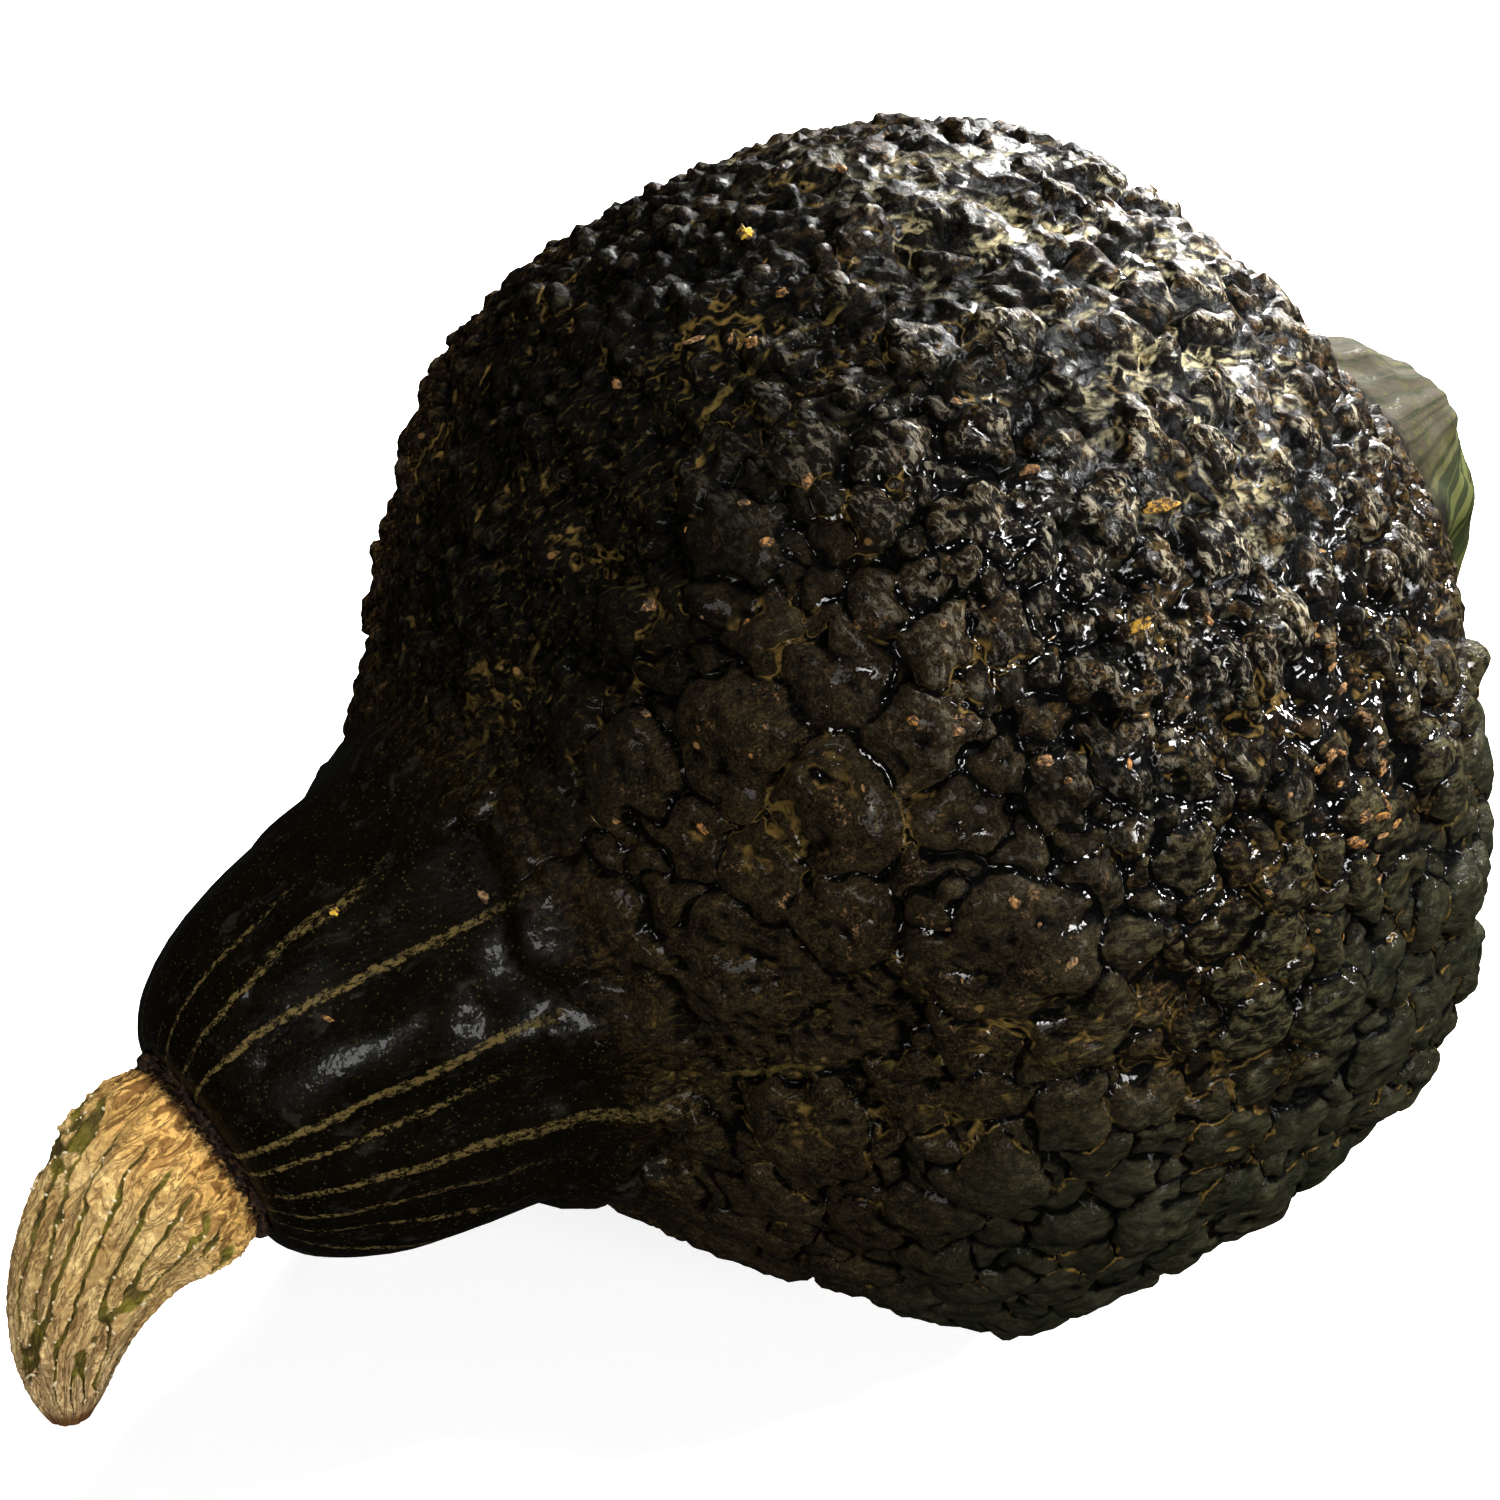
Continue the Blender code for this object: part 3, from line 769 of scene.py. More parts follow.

    # What lies in the creases: painted shade in black, olive threads, cream strands that are partly painted
    # sheen, and the deepest pits, painted blacker still.
    # Painted shade: the creases are tinted near-black, wider on the rough side and narrower among the
    # plates.
    painted_crease_shade = figure("SUBTRACT", sunken, times(plate_side, 0.14))
    painted_crease_shade = figure("ADD", painted_crease_shade, times(rough_place, 0.15))
    colour = tint(times(bulb, stretch(painted_crease_shade, -0.18, 0.24)), colour, PAINTED_SHADE_BLACK)
    olive_hollow = times(bulb, stretch(sunken, 0.02, 0.30), stretch(noise(here, 0.020), 0.535, 0.575))
    olive_hollow = times(olive_hollow, stretch(streaky, 0.42, 0.56), stretch(threads, 0.30, 0.52), 0.8)
    colour = tint(olive_hollow, colour, OLIVE_YELLOW)
    # Cream strands in the hollows, partly real and partly painted sheen: they are laid strongest on the
    # upper front of the rough side.
    bleach_and_sheen = times(band(share, 0.46, 0.56, 0.68, 0.76), stretch(top, 0.45, 0.80))
    bleach_and_sheen = times(bleach_and_sheen, stretch(sunken, -0.30, 0.15), stretch(sun_side, 0, 1, 0.30, 1.0))
    bleach_and_sheen = times(bleach_and_sheen, stretch(streaky, 0.50, 0.62), stretch(threads, 0.34, 0.58))
    colour = tint(bleach_and_sheen, colour, CREAM)
    # Painted shade once more, blacker, in the deepest hollows.
    colour = tint(times(bulb, stretch(sunken, 0.28, 0.60), stretch(middling, 0.40, 0.52)), colour, PAINTED_SHADE_BLACK)
    strands = noise(scaled(here, (0.10, 1.0, 1.0)), 0.0013, 3.0, 0.6, 0.5)
    colour = tint(times(flowing_here, stretch(strands, 0.54, 0.74), 0.55), colour, YELLOW_OLIVE)

    # Pale stripes on the neck, and a thin line along each furrow of the body.
    wander = times(figure("SUBTRACT", noise(here, 0.020, 2.0), 0.5), 0.10)
    wandering = add_node(coat, "ShaderNodeCombineXYZ", {
        "Y": figure("ADD", side, wander), "Z": figure("SUBTRACT", top, wander)}).outputs[0]
    wandering = vector_figure(coat, "NORMALIZE", 0, {0: wandering})
    if whole:
        stripes = 0.0
        for angle, half_width, start, end, strength in NECK_STRIPES:
            stripe = stripe_edge(nearness(wandering, angle), STRIPE_WIDTH * half_width)
            stripe = times(stripe, band(share, start - 0.01, start + 0.03, end - 0.06, end), strength)
            stripes = figure("MAXIMUM", stripes, stripe)
        off_bulb = stretch(bulb, 0, 1, 1, 0)
        blooming = times(stretch(noise(along_fruit, 0.0060, 5.0, 0.66, 0.5), 0.56, 0.68), off_bulb, 0.28)
        colour = tint(blooming, colour, NECK_BLOOM)
        dots = add_node(coat, "ShaderNodeTexVoronoi", {"Vector": here, "Scale": 1 / 0.0012}).outputs[0]
        dots = times(stretch(dots, 0.30, 0.12), stretch(small, 0.40, 0.58), 0.6)
        colour = tint(times(dots, stretch(bulb, 0, 1, 1.0, 0.25)), colour, NECK_DOT)
        edge_wear = stretch(noise(along_fruit, 0.0010, 5.0, 0.8), 0.60, 0.42)
        worn_edge = stretch(figure("SUBTRACT", stripes, times(edge_wear, 0.95)), -0.10, 0.75)
        colour = tint(times(worn_edge, stretch(share, 0.02, 0.22, 0.95, 0.6)), colour, KHAKI)
    nearest = nearness(wandering, math.degrees(FURROW_AT))
    for number in range(1, FURROW_COUNT):
        angle = math.degrees(FURROW_AT) + number * 360 / FURROW_COUNT
        nearest = figure("MAXIMUM", nearest, nearness(wandering, angle))
    broken = stretch(noise(here, 0.018, 3.0, 0.6), 0.44, 0.58)
    body_line = times(stripe_edge(nearest, BODY_LINE_WIDTH), band(share, 0.21, 0.25, 0.78, 0.84), broken)
    body_line = times(body_line, stretch(sunken, -0.6, 0.3), stretch(threads, 0.30, 0.58, 0.2, 1.0), 0.85)
    colour = tint(body_line, colour, YELLOW_OLIVE)

    # Corky specks, the nub with its ridges and its scar, and the yellow patch on the ground.
    specks = add_node(coat, "ShaderNodeTexVoronoi", {"Vector": here, "Scale": 1 / 0.011}).outputs
    chosen = add_node(coat, "ShaderNodeSeparateXYZ", {0: specks["Color"]}).outputs["X"]
    speck = times(stretch(specks["Distance"], 0.10, 0.055), stretch(chosen, 0.84, 0.90), bulb, upside)
    colour = tint(speck, colour, TAN)
    if whole:
        nub = figure("ADD", share, times(figure("SUBTRACT", middling, 0.5), 0.05))
        nub_stripe = noise(scaled(place, (1.5, 19.0, 19.0)), 1.0, 3.0, 0.6, 0.3)
        nub_colour = tint(stretch(nub_stripe, 0.44, 0.58), NUB_DARK, NUB_GREEN)
        grey_top = times(stretch(top, 0.25, 0.65), stretch(small, 0.30, 0.55))
        nub_colour = tint(times(grey_top, stretch(nub_stripe, 0.38, 0.55, 0.35, 1.0)), nub_colour, NUB_GREY)
        scar = stretch(figure("ADD", share, times(small, 0.012)), 0.990, 0.998)
        colour = tint(stretch(nub, 0.846, 0.868), colour, tint(scar, nub_colour, NUB_SCAR))
    on_ground = stretch(figure("ADD", height_here, times(small, 0.006)), 0.004, 0.012, 1, 0)
    colour = tint(on_ground, colour, GROUND_YELLOW)

    # The film of wax and wet that shines in the creases, and the fibres under it.
    wet = stretch(noise(here, 0.016, 3.0, 0.6), 0.40, 0.54)
    pooled = times(stretch(share, 0.30, 0.44, 0.16, 1.0), stretch(upside, 0, 1, 0.4, 1.0))
    pooled = times(pooled, stretch(dark_side, 0, 1, 1.0, 0.06), stretch(lump_side, 0, 1, 1.0, 0.22))
    pooled = times(pooled, stretch(sun_side, 0, 1, 0.30, 1.0))
    low_spot = figure("SUBTRACT", sunken, times(plate_side, 0.28))
    film = times(bulb, wet, stretch(low_spot, -0.50, 0.05), pooled)
    thinnest = times(stretch(bulb, 0, 1, 0.11, 0.05), stretch(share, 0.80, 0.86, 1.0, 0.1))
    film = figure("MAXIMUM", film, thinnest)
    gloss = stretch(noise(here, 0.0011, 3.0, 0.6), 0.35, 0.65, 0.30, 0.48)
    gloss = blend(bulb, stretch(middling, 0.40, 0.65, 0.22, 0.38), gloss)
    gloss = figure("MAXIMUM", gloss, stretch(share, 0.80, 0.86, 0.0, 0.72))
    scratches = noise(across_fruit, 0.0011, 5.0, 0.72, 0.5)
    fibres = blend(rough_place, noise(along_fruit, 0.0012, 5.0, 0.70, 0.6), scratches)
    ripple = figure("ADD", times(fibres, 0.70), times(noise(here, 0.0030, 3.0, 0.5), 0.30))
    ripple = times(ripple, stretch(bulb, 0, 1, 0.16, 1.0))
    scored = times(fibres, rough_place, stretch(share, 0.44, 0.54), stretch(top, 0.50, 0.80), 0.36)
    swells = figure("ADD", times(noise(here, 0.0042, 2.0, 0.5), 0.45), scored)
    swells = figure("ADD", swells, times(noise(here, 0.0012, 2.0, 0.5), 0.09))
    for socket, value in (
        ("Base Color", colour), ("Roughness", gloss), ("Normal", bump_of(ripple, 0.0013)),
        ("Coat Weight", film), ("Coat Normal", bump_of(swells, 0.0010)),
    ):
        coat.links.new(value, shader.inputs[socket])
    shader.inputs["Coat Roughness"].default_value = 0.055
    shader.inputs["Specular IOR Level"].default_value = 0.07
    return finish


rind_finishes = [make_rind_finish("waxy_rind", True), make_rind_finish("waxy_bulb", False)]
strewing = rind.modifiers.new("small nodules", "NODES")
strewing.node_group = make_nodule_tree()
set_inputs(strewing, {
    "Nodule gap": 0.0052, "Nodule reach": 0.0027, "Nodule rise": 0.0013, "Wrinkle size": 0.0060,
    "Wrinkle rise": 0.0007, "Skin": rind_finishes[0],
})
thinning = rind.modifiers.new("thinning", "DECIMATE")
thinning.ratio = RIND_TRIANGLES / (2 * RIND_SEGMENTS * (RIND_RINGS - 1))
settle(rind)

rind_points = read_values(rind.data.vertices, "co", 3)
rind_points[:, 2] = np.where(rind_points[:, 2] < FLAT_ON_GROUND, 0.0, rind_points[:, 2])
rind.data.vertices.foreach_set("co", rind_points.ravel())
rind.data.materials.append(rind_finishes[1])
corners = read_values(rind.data.loops, "vertex_index", 1).astype(int)[:, 0]
corner_share = read_values(rind.data.attributes["place"].data, "vector", 3)[corners, 0]
first_corner = read_values(rind.data.polygons, "loop_start", 1).astype(int)[:, 0]
on_bulb = np.minimum.reduceat(corner_share, first_corner) > BULB_START
on_bulb &= np.maximum.reduceat(corner_share, first_corner) < BULB_END
rind.data.polygons.foreach_set("material_index", on_bulb.astype(np.int32))
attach(rind, "root")
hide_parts("fruit")


# Cork scabs. Old scratches and cracked wart tips have healed over as small flat crusts of tan
# and orange cork, which sit on the higher warts of the upper side.
def make_strewn_tree():
    """Small flat crusts strewn over another piece, each turned and sized by chance."""
    numbers = ("Gap", "Least", "Narrowest", "Widest", "Thickness", "Unevenness")
    tree, given = open_tree("strewn_crusts", [
        ("Geometry", "Geometry"), ("Host", "Object"), ("Field", "String"),
        *((label, "Float") for label in numbers), ("Finish", "Material"), ("Seed", "Int")])
    host = add_node(tree, "GeometryNodeObjectInfo", {"Object": given["Host"]}).outputs["Geometry"]
    chosen = figure("GREATER_THAN", stored(tree, given["Field"]), given["Least"])
    strewn = strew_points(tree, host, given["Gap"], 1.2, chosen, given["Seed"])
    points = keep_field(tree, strewn["Points"], "tone", random_number(tree, 0.0, 1.0, 2))
    girth = random_number(tree, given["Narrowest"], given["Widest"], 4)
    length = random_number(tree, 0.8, 2.2, 5)
    spin = add_node(tree, "FunctionNodeRandomValue", {
        0: (0, 0, 0), 1: (0.3, 0.3, 2 * math.pi), "Seed": 6,
    }, data_type="FLOAT_VECTOR").outputs[0]
    turned = add_node(tree, "FunctionNodeRotateRotation", {
        "Rotation": strewn["Rotation"], "Rotate By": spin,
    }, rotation_space="LOCAL").outputs[0]
    size = add_node(tree, "ShaderNodeCombineXYZ", {
        "X": girth, "Y": times(girth, length), "Z": times(girth, given["Thickness"])}).outputs[0]
    crust = add_node(tree, "GeometryNodeMeshIcoSphere", {"Radius": 1.0, "Subdivisions": 2}).outputs["Mesh"]
    placed = add_node(tree, "GeometryNodeInstanceOnPoints", {
        "Points": points, "Instance": crust, "Rotation": turned, "Scale": size}).outputs[0]
    real = add_node(tree, "GeometryNodeRealizeInstances", {"Geometry": placed}).outputs[0]
    waves = add_node(tree, "ShaderNodeTexNoise", {
        "Vector": tree.nodes.new("GeometryNodeInputPosition").outputs[0],
        "Scale": figure("DIVIDE", 1.8, given["Widest"]), "Detail": 3.0,
    }).outputs["Color"]
    waves = vector_figure(tree, "SUBTRACT", 0, {0: waves, 1: (0.5, 0.5, 0.5)})
    waves = vector_figure(tree, "SCALE", 0, {0: waves, "Scale": given["Unevenness"]})
    uneven = add_node(tree, "GeometryNodeSetPosition", {"Geometry": real, "Offset": waves}).outputs[0]
    close_tree(tree, uneven, given["Finish"])
    return tree


strewn_tree = make_strewn_tree()


def strew(name, host, values):
    """A new piece of crusts strewn over the host, as a plain mesh."""
    piece = put_in_scene(name, bpy.data.meshes.new(name))
    strewing = piece.modifiers.new("strewing", "NODES")
    strewing.node_group = strewn_tree
    set_inputs(strewing, dict(values, Host=host))
    settle(piece)
    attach(piece, "root")
    return piece


CORK_CRACK, CORK_TAN = (0.060, 0.032, 0.014), (0.28, 0.175, 0.078)
CORK_ORANGE, CORK_YELLOW = (0.42, 0.205, 0.048), (0.66, 0.43, 0.05)
cork_crust, crust_nodes, crust_shader = new_finish("cork_crust")
crust_here = add_node(crust_nodes, "ShaderNodeTexCoord").outputs["Object"]
crust_tone = field_of(crust_nodes, "tone")
crust_grain = noise(crust_here, 0.0013, 4.0, 0.7)
crust_colour = tint(crust_tone, CORK_TAN, CORK_ORANGE)
crust_colour = tint(stretch(crust_tone, 1.0, 2.0), crust_colour, CORK_YELLOW)
crust_colour = tint(stretch(crust_grain, 0.42, 0.58), CORK_CRACK, crust_colour)
crust_nodes.links.new(crust_colour, crust_shader.inputs["Base Color"])
crust_nodes.links.new(stretch(crust_grain, 0.3, 0.7, 0.75, 0.50), crust_shader.inputs["Roughness"])
crust_nodes.links.new(bump_of(crust_grain, 0.0006), crust_shader.inputs["Normal"])

scabs = strew("cork_scabs", rind, {
    "Field": "scab_room", "Gap": 0.0082, "Least": 0.4, "Narrowest": 0.0003, "Widest": 0.0012,
    "Thickness": 0.35, "Unevenness": 0.0009, "Finish": cork_crust, "Seed": 9,
})

# The scabs that stand out: share, angle, half length and half width, turn in degrees and tone.
GREAT_SCABS = [
    (0.466, 90, 0.0018, 0.0013, 20, 2.0), (0.463, 88, 0.0009, 0.0008, 60, 1.4),
    (0.410, 96, 0.0022, 0.0009, 70, 0.2), (0.451, 99, 0.0011, 0.0008, 80, 0.7),
    (0.370, 93, 0.0010, 0.0008, 0, 0.6), (0.507, 135, 0.0027, 0.0014, 75, 1.5),
    (0.474, 142, 0.0026, 0.0011, 90, 1.6), (0.543, 168, 0.0028, 0.0014, 60, 0.9),
    (0.509, 145, 0.0013, 0.0009, 70, 0.6), (0.319, 115, 0.0017, 0.0010, 90, 0.3),
    (0.519, 89, 0.0013, 0.0009, 10, 0.6), (0.386, 158, 0.0013, 0.0009, 30, 0.4),
    (0.470, 127, 0.0018, 0.0008, 80, 0.3), (0.418, 148, 0.0014, 0.0009, 60, 0.4),
    (0.390, 143, 0.0012, 0.0010, 20, 0.3), (0.286, 139, 0.0014, 0.0008, 60, 1.0),
    (0.297, 123, 0.0010, 0.0007, 30, 0.3), (0.469, 119, 0.0014, 0.0008, 80, 0.4),
    (0.143, 107, 0.0010, 0.0009, 0, 2.0), (0.117, 124, 0.0015, 0.0005, 40, 0.6),
    (0.190, 125, 0.0013, 0.0009, 20, 0.0), (0.536, 161, 0.0020, 0.0012, 70, 1.2),
    (0.574, 163, 0.0014, 0.0009, 70, 0.5), (0.489, 167, 0.0012, 0.0006, 50, 0.3),
    (0.540, 176, 0.0020, 0.0009, 60, 1.0), (0.476, 205, 0.0009, 0.0006, 30, 0.8),
    (0.258, 132, 0.0008, 0.0006, 30, 0.8),
]
# One more healed over as a ring: share, angle, half length and half width of the ring. One
# share of the skin is about RING_REACH long there, and the bulb about RING_ROUND in radius.
RING_REACH, RING_ROUND = 0.44, 0.13
RING_SCAB = (0.421, 101, 0.0027, 0.0018)
RING_BEADS = 26
FLAT_SCAB, RING_BEAD = 0.34, 1.0
outstanding = [(*scab, FLAT_SCAB) for scab in GREAT_SCABS]
for bead in range(RING_BEADS):
    share, angle, long_way, cross_way = RING_SCAB
    turn = 2 * math.pi * bead / RING_BEADS
    outstanding.append((
        share + long_way * math.cos(turn) / RING_REACH,
        angle + math.degrees(cross_way * math.sin(turn) / RING_ROUND),
        0.00058, 0.00042, 47 * bead, 0.5, RING_BEAD))
# Healed cracks near the right edge: share and angle of each end, and how many crumbs of cork.
HEALED_CRACKS = [(0.556, 150, 0.572, 163, 12), (0.572, 163, 0.560, 171, 9), (0.540, 158, 0.549, 166, 8)]
for from_share, from_angle, to_share, to_angle, crumbs in HEALED_CRACKS:
    for crumb in range(crumbs):
        step = crumb / (crumbs - 1)
        sway = 1.2 * math.sin(9 * step + from_angle)
        outstanding.append((
            from_share + (to_share - from_share) * step,
            from_angle + (to_angle - from_angle) * step + sway,
            0.0013, 0.0005, 90 + 25 * sway, 0.4, RING_BEAD))
ball = bmesh.new()
bmesh.ops.create_icosphere(ball, subdivisions=3, radius=1.0)
ball_points = np.array([corner.co[:] for corner in ball.verts])
ball_faces = np.array([[corner.index for corner in face.verts] for face in ball.faces])
ball.free()
crust_points, crust_faces, crust_tones = [], [], []
for number, (share, angle, long_way, cross_way, turn, tone, thickness) in enumerate(outstanding):
    spot = bare_skin(np.array(share), np.array(math.radians(angle)))
    outward = Vector(spot) - Vector((spot[0], 0.0, BELLY_AXIS_Z))
    _, seat, normal, _ = rind.closest_point_on_mesh(Vector(spot) + 0.006 * outward.normalized())
    first = Vector((1, 0, 0)).cross(normal).normalized()
    second = normal.cross(first)
    turn = math.radians(turn)
    long_axis = first * math.cos(turn) + second * math.sin(turn)
    cross_axis = second * math.cos(turn) - first * math.sin(turn)
    shell = ball_points * (1 + 0.22 * crumple(ball_points + 5.0 * number, 1.5, 81)
                           + 0.10 * crumple(ball_points - 3.0 * number, 0.6, 82))[:, None]
    axes = np.array([long_axis * long_way, cross_axis * cross_way, normal * thickness * cross_way])
    shell = shell @ axes
    crust_points.append(np.array(seat) + shell)
    crust_faces.append(ball_faces + number * len(ball_points))
    crust_tones.append(np.full(len(ball_points), tone))
great_data = bpy.data.meshes.new("great_scabs")
great_data.from_pydata(np.concatenate(crust_points).tolist(), [], np.concatenate(crust_faces).tolist())
great_data.attributes.new("tone", "FLOAT", "POINT").data.foreach_set(
    "value", np.concatenate(crust_tones).astype(np.float32))
great_data.materials.append(cork_crust)
great_data.shade_smooth()
great_scabs = put_in_scene("great_scabs", great_data)
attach(great_scabs, "root")
for name in ("nodule_room", "roughness_room", "scab_room", "girth"):
    if name in rind.data.attributes:
        rind.data.attributes.remove(rind.data.attributes[name])


# The stem. It is dry corky wood, ridged lengthwise, that grew out of the neck's end and was cut
# through at its own end, and its base is wrapped in crinkled bark.
STEM_GAP = 0.0003
STEM_LENGTH = 0.073
STEM_TIP = Vector((-0.222, -0.002, 0.040))
STEM_OUTLINE = [
    (0, 0), (0, 0.0200), (0.003, 0.0212), (0.012, 0.0223), (0.020, 0.0212), (0.030, 0.0182),
    (0.044, 0.0152), (0.052, 0.0132), (0.060, 0.0107), (0.068, 0.0078), (0.0715, 0.0058),
    (0.073, 0.0042), (0.073, 0),
]
STEM_RIDGE_COUNT = 11
STEM_RIDGE_HEIGHT = 0.0008
STEM_RIDGE_TWIST = math.radians(35)
STEM_SEGMENTS, STEM_RINGS = 400, 330
STEM_TRIANGLES = 120000


def stem_spine(share):
    """Middle line of the stem: it leaves the seat square, droops and ends pointing down."""
    slope = math.atan(float(fruit_axis(np.array(FRUIT_OUTLINE[0][0]))[1]))
    out = Vector((-math.cos(slope), 0, -math.sin(slope)))
    start = Vector((WIDEST_X + FRUIT_OUTLINE[0][0], 0, STEM_SEAT_Z)) + out * STEM_GAP
    bend_1 = start + out * 0.022
    bend_2 = STEM_TIP + Vector((0.001, 0.001, 0.034))
    t = share
    spot = start * (1 - t) ** 3 + bend_1 * 3 * t * (1 - t) ** 2
    spot = spot + bend_2 * 3 * t * t * (1 - t) + STEM_TIP * t ** 3
    heading = (bend_1 - start) * (1 - t) ** 2 + (bend_2 - bend_1) * 2 * t * (1 - t)
    heading = heading + (STEM_TIP - bend_2) * t ** 2
    return spot, heading.normalized()


stem_share = (np.arange(1, STEM_RINGS) / STEM_RINGS)[:, None]
stem_turn = (2 * math.pi * np.arange(STEM_SEGMENTS) / STEM_SEGMENTS)[None, :]
along, wide = outline_at(STEM_OUTLINE, stem_share)
part = along / STEM_LENGTH
ridge = np.cos(STEM_RIDGE_COUNT * (stem_turn + STEM_RIDGE_TWIST * part))
ridge = ridge + 0.5 * np.cos(2 * STEM_RIDGE_COUNT * stem_turn + 9 * part)
ridged = wide + STEM_RIDGE_HEIGHT * ridge * fade(part, 0.02, 0.15) * (1 - 0.85 * fade(part, 0.80, 0.95))
steps = [stem_spine(step) for step in part[:, 0]]
spine = np.array([spot for spot, _ in steps])[:, None]
headings = np.array([heading for _, heading in steps])[:, None]
sides = np.cross(headings, (0, 1, 0))
sides /= np.linalg.norm(sides, axis=-1, keepdims=True)
others = np.cross(headings, sides)
around = sides * np.cos(stem_turn)[..., None] + others * np.sin(stem_turn)[..., None]
bare_stem = spine + around * ridged[..., None]

# Wandering lengthwise grooves, where two neighbouring strips of bark pull apart.
draw = np.random.default_rng(31)
wander = np.zeros(ridged.shape)
for count in range(5, 13):
    sway = draw.uniform(0.6, 1.8) * np.sin(draw.uniform(3, 8) * part + draw.uniform(0, 6.3))
    wander = wander + np.cos(count * (stem_turn + STEM_RIDGE_TWIST * part) + sway + draw.uniform(0, 6.3))
wander = wander / 2 + 0.22 * crumple(bare_stem, 0.0060, 32)
bark = 1 - fade(part, 0.90, 0.985)
grooved = fade(part, 0.10, 0.20) * bark
open_here = fade(crumple(bare_stem * (1, 1, 0.6), 0.020, 37), -0.5, 0.4)
groove = np.exp(-(wander / (0.26 + 0.26 * open_here)) ** 4) * grooved
lip = np.exp(-((np.abs(wander) - 0.36 - 0.30 * open_here) / 0.15) ** 2) * grooved
wrapped = np.stack(np.broadcast_arrays(
    0.0195 * np.cos(stem_turn), 0.0195 * np.sin(stem_turn), 0.42 * along), axis=-1)
wrapped = wrapped + 0.0011 * crumple_ways(wrapped, 0.0060, (43, 44, 45))
crinkle_1 = 1 - np.minimum(np.abs(crumple(wrapped, 0.0072, 33)), 1)
crinkle_2 = 1 - np.minimum(np.abs(crumple(wrapped, 0.0043, 35)), 1)
at_base = 1 - fade(part, 0.14, 0.42)
crinkle = (0.60 * crinkle_1 ** 4 + 0.40 * crinkle_2 ** 4) * (0.35 + 0.65 * at_base)
fine_grain = crumple(bare_stem, 0.0016, 36)
lift = 0.0009 * crinkle * bark + 0.00035 * lip - 0.0008 * groove + 0.00007 * fine_grain * bark
lift = lift * np.minimum(1.0, wide / 0.006)
stem = closed_skin("stem_cork", bare_stem)
lift_corners(stem, bare_stem, corner_values(around), lift)
speck_room = np.exp(-((np.abs(wander) - 0.26 - 0.22 * open_here) / 0.14) ** 2) * grooved
for name, field in (
    ("groove", groove), ("crinkle", crinkle), ("part", part), ("wrapped", wrapped * (1, 1, 0.4)),
    ("speck_room", speck_room),
):
    keep_on_skin(stem, name, field, ridged.shape)

BARK_BROWN, BARK_STRAW, BARK_BASE = (0.68, 0.48, 0.21), (0.90, 0.69, 0.34), (0.88, 0.54, 0.16)
BARK_TIP, BARK_WORN, BARK_HAIR = (0.86, 0.69, 0.46), (0.33, 0.19, 0.070), (0.30, 0.175, 0.065)
BARK_CRACK, BARK_TORN, CUT_BROWN = (0.26, 0.125, 0.034), (0.020, 0.009, 0.004), (0.30, 0.155, 0.060)
GROOVE_OLIVE, GROOVE_GREEN = (0.15, 0.115, 0.034), (0.25, 0.215, 0.040)
dry_bark, bark_nodes, bark_shader = new_finish("dry_bark")
bark_here = add_node(bark_nodes, "ShaderNodeTexCoord").outputs["Object"]
bark_part = field_of(bark_nodes, "part")
bark_grain = noise(bark_here, 0.0012, 5.0, 0.65, 0.8)
bark_patch = noise(bark_here, 0.0080, 3.0, 0.6)
bark_colour = tint(stretch(bark_patch, 0.35, 0.65), BARK_BROWN, BARK_STRAW)
bark_colour = tint(stretch(bark_part, 0.05, 0.35, 0.65, 0.0), bark_colour, BARK_BASE)
bark_colour = tint(stretch(bark_part, 0.45, 0.95, 0.0, 0.45), bark_colour, BARK_TIP)
worn = stretch(bark_grain, 0.36, 0.60, 0.40, 0.0)
bark_colour = tint(worn, bark_colour, BARK_WORN)
hairline = noise(field_of(bark_nodes, "wrapped", "Vector"), 0.0021, 4.0, 0.62, 0.5)
hairline = times(stretch(hairline, 0.455, 0.50), stretch(hairline, 0.545, 0.50))
bark_colour = tint(times(hairline, 0.50), bark_colour, BARK_HAIR)
in_crack = stretch(field_of(bark_nodes, "crinkle"), 0.060, 0.008)
in_crack = times(in_crack, stretch(bark_part, 0.03, 0.30, 0.85, 0.35))
bark_colour = tint(in_crack, bark_colour, BARK_CRACK)
green = tint(stretch(bark_patch, 0.40, 0.62), GROOVE_OLIVE, GROOVE_GREEN)
bark_colour = tint(stretch(field_of(bark_nodes, "groove"), 0.25, 0.75), bark_colour, green)
torn = figure("SUBTRACT", bark_part, times(bark_grain, 0.14))
bark_colour = tint(stretch(torn, -0.006, -0.050), bark_colour, BARK_TORN)
bark_colour = tint(stretch(bark_part, 0.930, 0.975), bark_colour, CUT_BROWN)
bark_nodes.links.new(bark_colour, bark_shader.inputs["Base Color"])
bark_gloss = stretch(field_of(bark_nodes, "groove"), 0.2, 0.8, 0.78, 0.50)
bark_nodes.links.new(bark_gloss, bark_shader.inputs["Roughness"])
bark_relief = figure("SUBTRACT", bark_grain, times(hairline, 0.40))
bark_nodes.links.new(bump_of(bark_relief, 0.0006), bark_shader.inputs["Normal"])
bark_shader.inputs["Specular IOR Level"].default_value = 0.25
stem.data.materials.append(dry_bark)
stem_thinning = stem.modifiers.new("thinning", "DECIMATE")
stem_thinning.ratio = STEM_TRIANGLES / (2 * STEM_SEGMENTS * (STEM_RINGS - 1))
settle(stem)
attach(stem, "root")
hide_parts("stem")

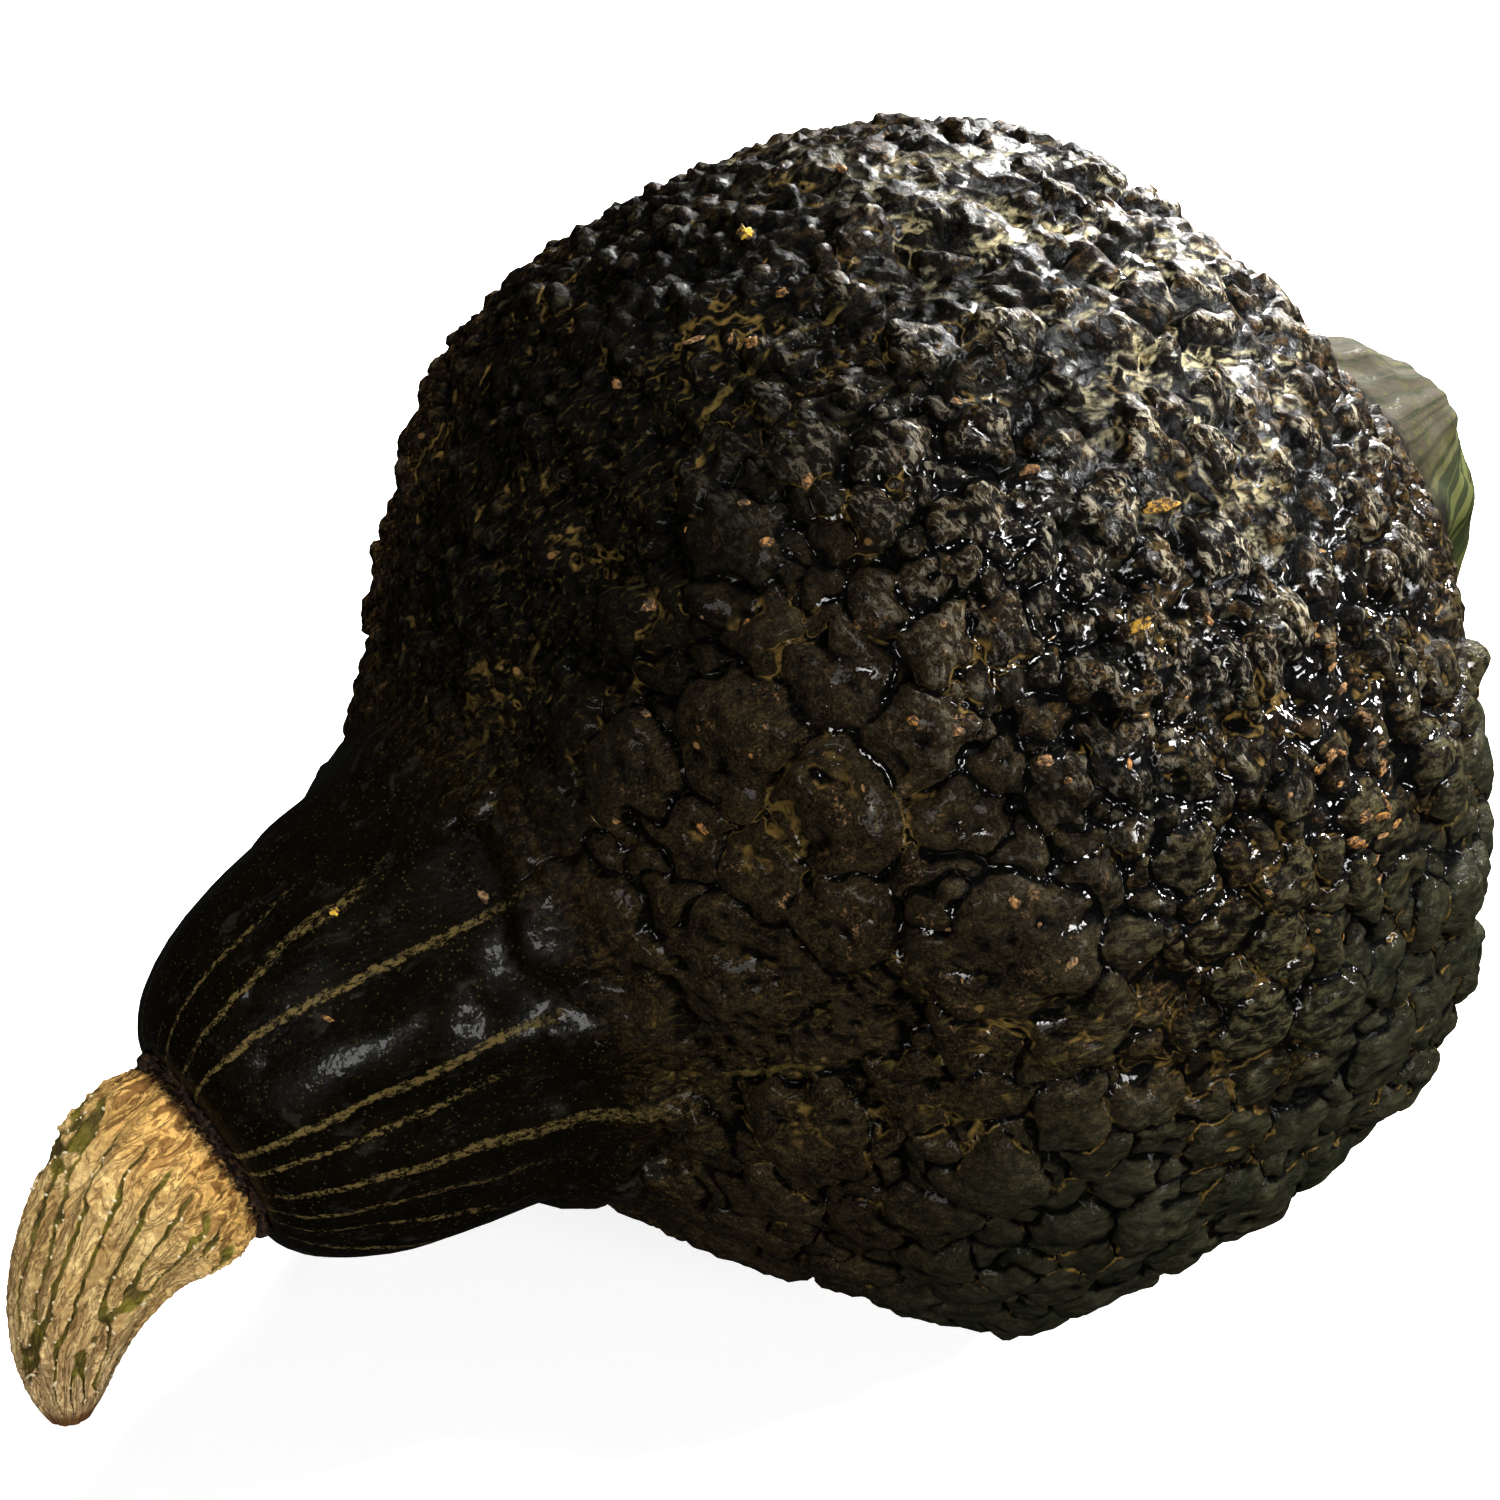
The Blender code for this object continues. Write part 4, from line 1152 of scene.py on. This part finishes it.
# The stem's pores: rows of tiny pale grains of cork along both lips of its grooves.
PORE_TAN, PORE_CREAM = (0.55, 0.44, 0.26), (0.80, 0.72, 0.52)
pale_pore, pore_nodes, pore_shader = new_finish("pale_pore")
pore_here = add_node(pore_nodes, "ShaderNodeTexCoord").outputs["Object"]
pore_colour = tint(noise(pore_here, 0.0010), PORE_TAN, PORE_CREAM)
pore_nodes.links.new(pore_colour, pore_shader.inputs["Base Color"])
pore_shader.inputs["Roughness"].default_value = 0.6
pores = strew("stem_pores", stem, {
    "Field": "speck_room", "Gap": 0.0015, "Least": 0.60, "Narrowest": 0.00026, "Widest": 0.00044,
    "Thickness": 0.9, "Unevenness": 0.00006, "Finish": pale_pore, "Seed": 4,
})

# The crust round the stem's seat, where the green stem dried and tore away from the rind: a
# ragged ring of dark brown fibre that fills the corner between the two.
CRUST_RING, CRUST_THICKNESS = 0.0210, 0.0010
CRUST_SEGMENTS, CRUST_SIDES = 260, 26
seat_middle, seat_heading = stem_spine(0.0)
seat_side = seat_heading.cross(Vector((0, 1, 0))).normalized()
seat_other = seat_heading.cross(seat_side)
crust_turn = 2 * math.pi * np.arange(CRUST_SEGMENTS) / CRUST_SEGMENTS
crust_side = 2 * math.pi * np.arange(CRUST_SIDES) / CRUST_SIDES
spoke = np.outer(np.cos(crust_turn), seat_side) + np.outer(np.sin(crust_turn), seat_other)
crust_points = np.array(seat_middle)[None, None] + spoke[:, None] * (
    CRUST_RING + CRUST_THICKNESS * np.cos(crust_side)[None, :, None])
crust_points = crust_points + np.array(seat_heading) * (CRUST_THICKNESS * np.sin(crust_side))[None, :, None]
crust_away = spoke[:, None] * np.cos(crust_side)[None, :, None]
crust_away = crust_away + np.array(seat_heading) * np.sin(crust_side)[None, :, None]
ragged = 0.0006 * crumple(crust_points, 0.0050, 41) + 0.0006 * crumple(crust_points, 0.0017, 42)
crust_points = crust_points + crust_away * ragged[..., None]
number = np.arange(CRUST_SEGMENTS * CRUST_SIDES).reshape(CRUST_SEGMENTS, CRUST_SIDES)
beyond, next_side = np.roll(number, -1, axis=0), np.roll(number, -1, axis=1)
crust_faces = np.stack([number, beyond, np.roll(beyond, -1, axis=1), next_side], axis=-1).reshape(-1, 4)
crust_data = bpy.data.meshes.new("seat_crust")
crust_data.from_pydata(crust_points.reshape(-1, 3).tolist(), [], crust_faces.tolist())
crust_check = bmesh.new()
crust_check.from_mesh(crust_data)
bmesh.ops.recalc_face_normals(crust_check, faces=crust_check.faces)
crust_check.to_mesh(crust_data)
crust_check.free()
seat_crust = put_in_scene("seat_crust", crust_data)
FIBRE_DARK, FIBRE_BROWN = (0.006, 0.003, 0.0015), (0.11, 0.052, 0.019)
torn_fibre, fibre_nodes, fibre_shader = new_finish("torn_fibre")
fibre_here = add_node(fibre_nodes, "ShaderNodeTexCoord").outputs["Object"]
fibre_grain = noise(fibre_here, 0.0013, 4.0, 0.7, 1.0)
fibre_colour = tint(stretch(fibre_grain, 0.42, 0.66), FIBRE_DARK, FIBRE_BROWN)
fibre_nodes.links.new(fibre_colour, fibre_shader.inputs["Base Color"])
fibre_shader.inputs["Roughness"].default_value = 0.62
fibre_nodes.links.new(bump_of(fibre_grain, 0.0008), fibre_shader.inputs["Normal"])
crust_data.materials.append(torn_fibre)
crust_data.shade_smooth()
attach(seat_crust, "root")
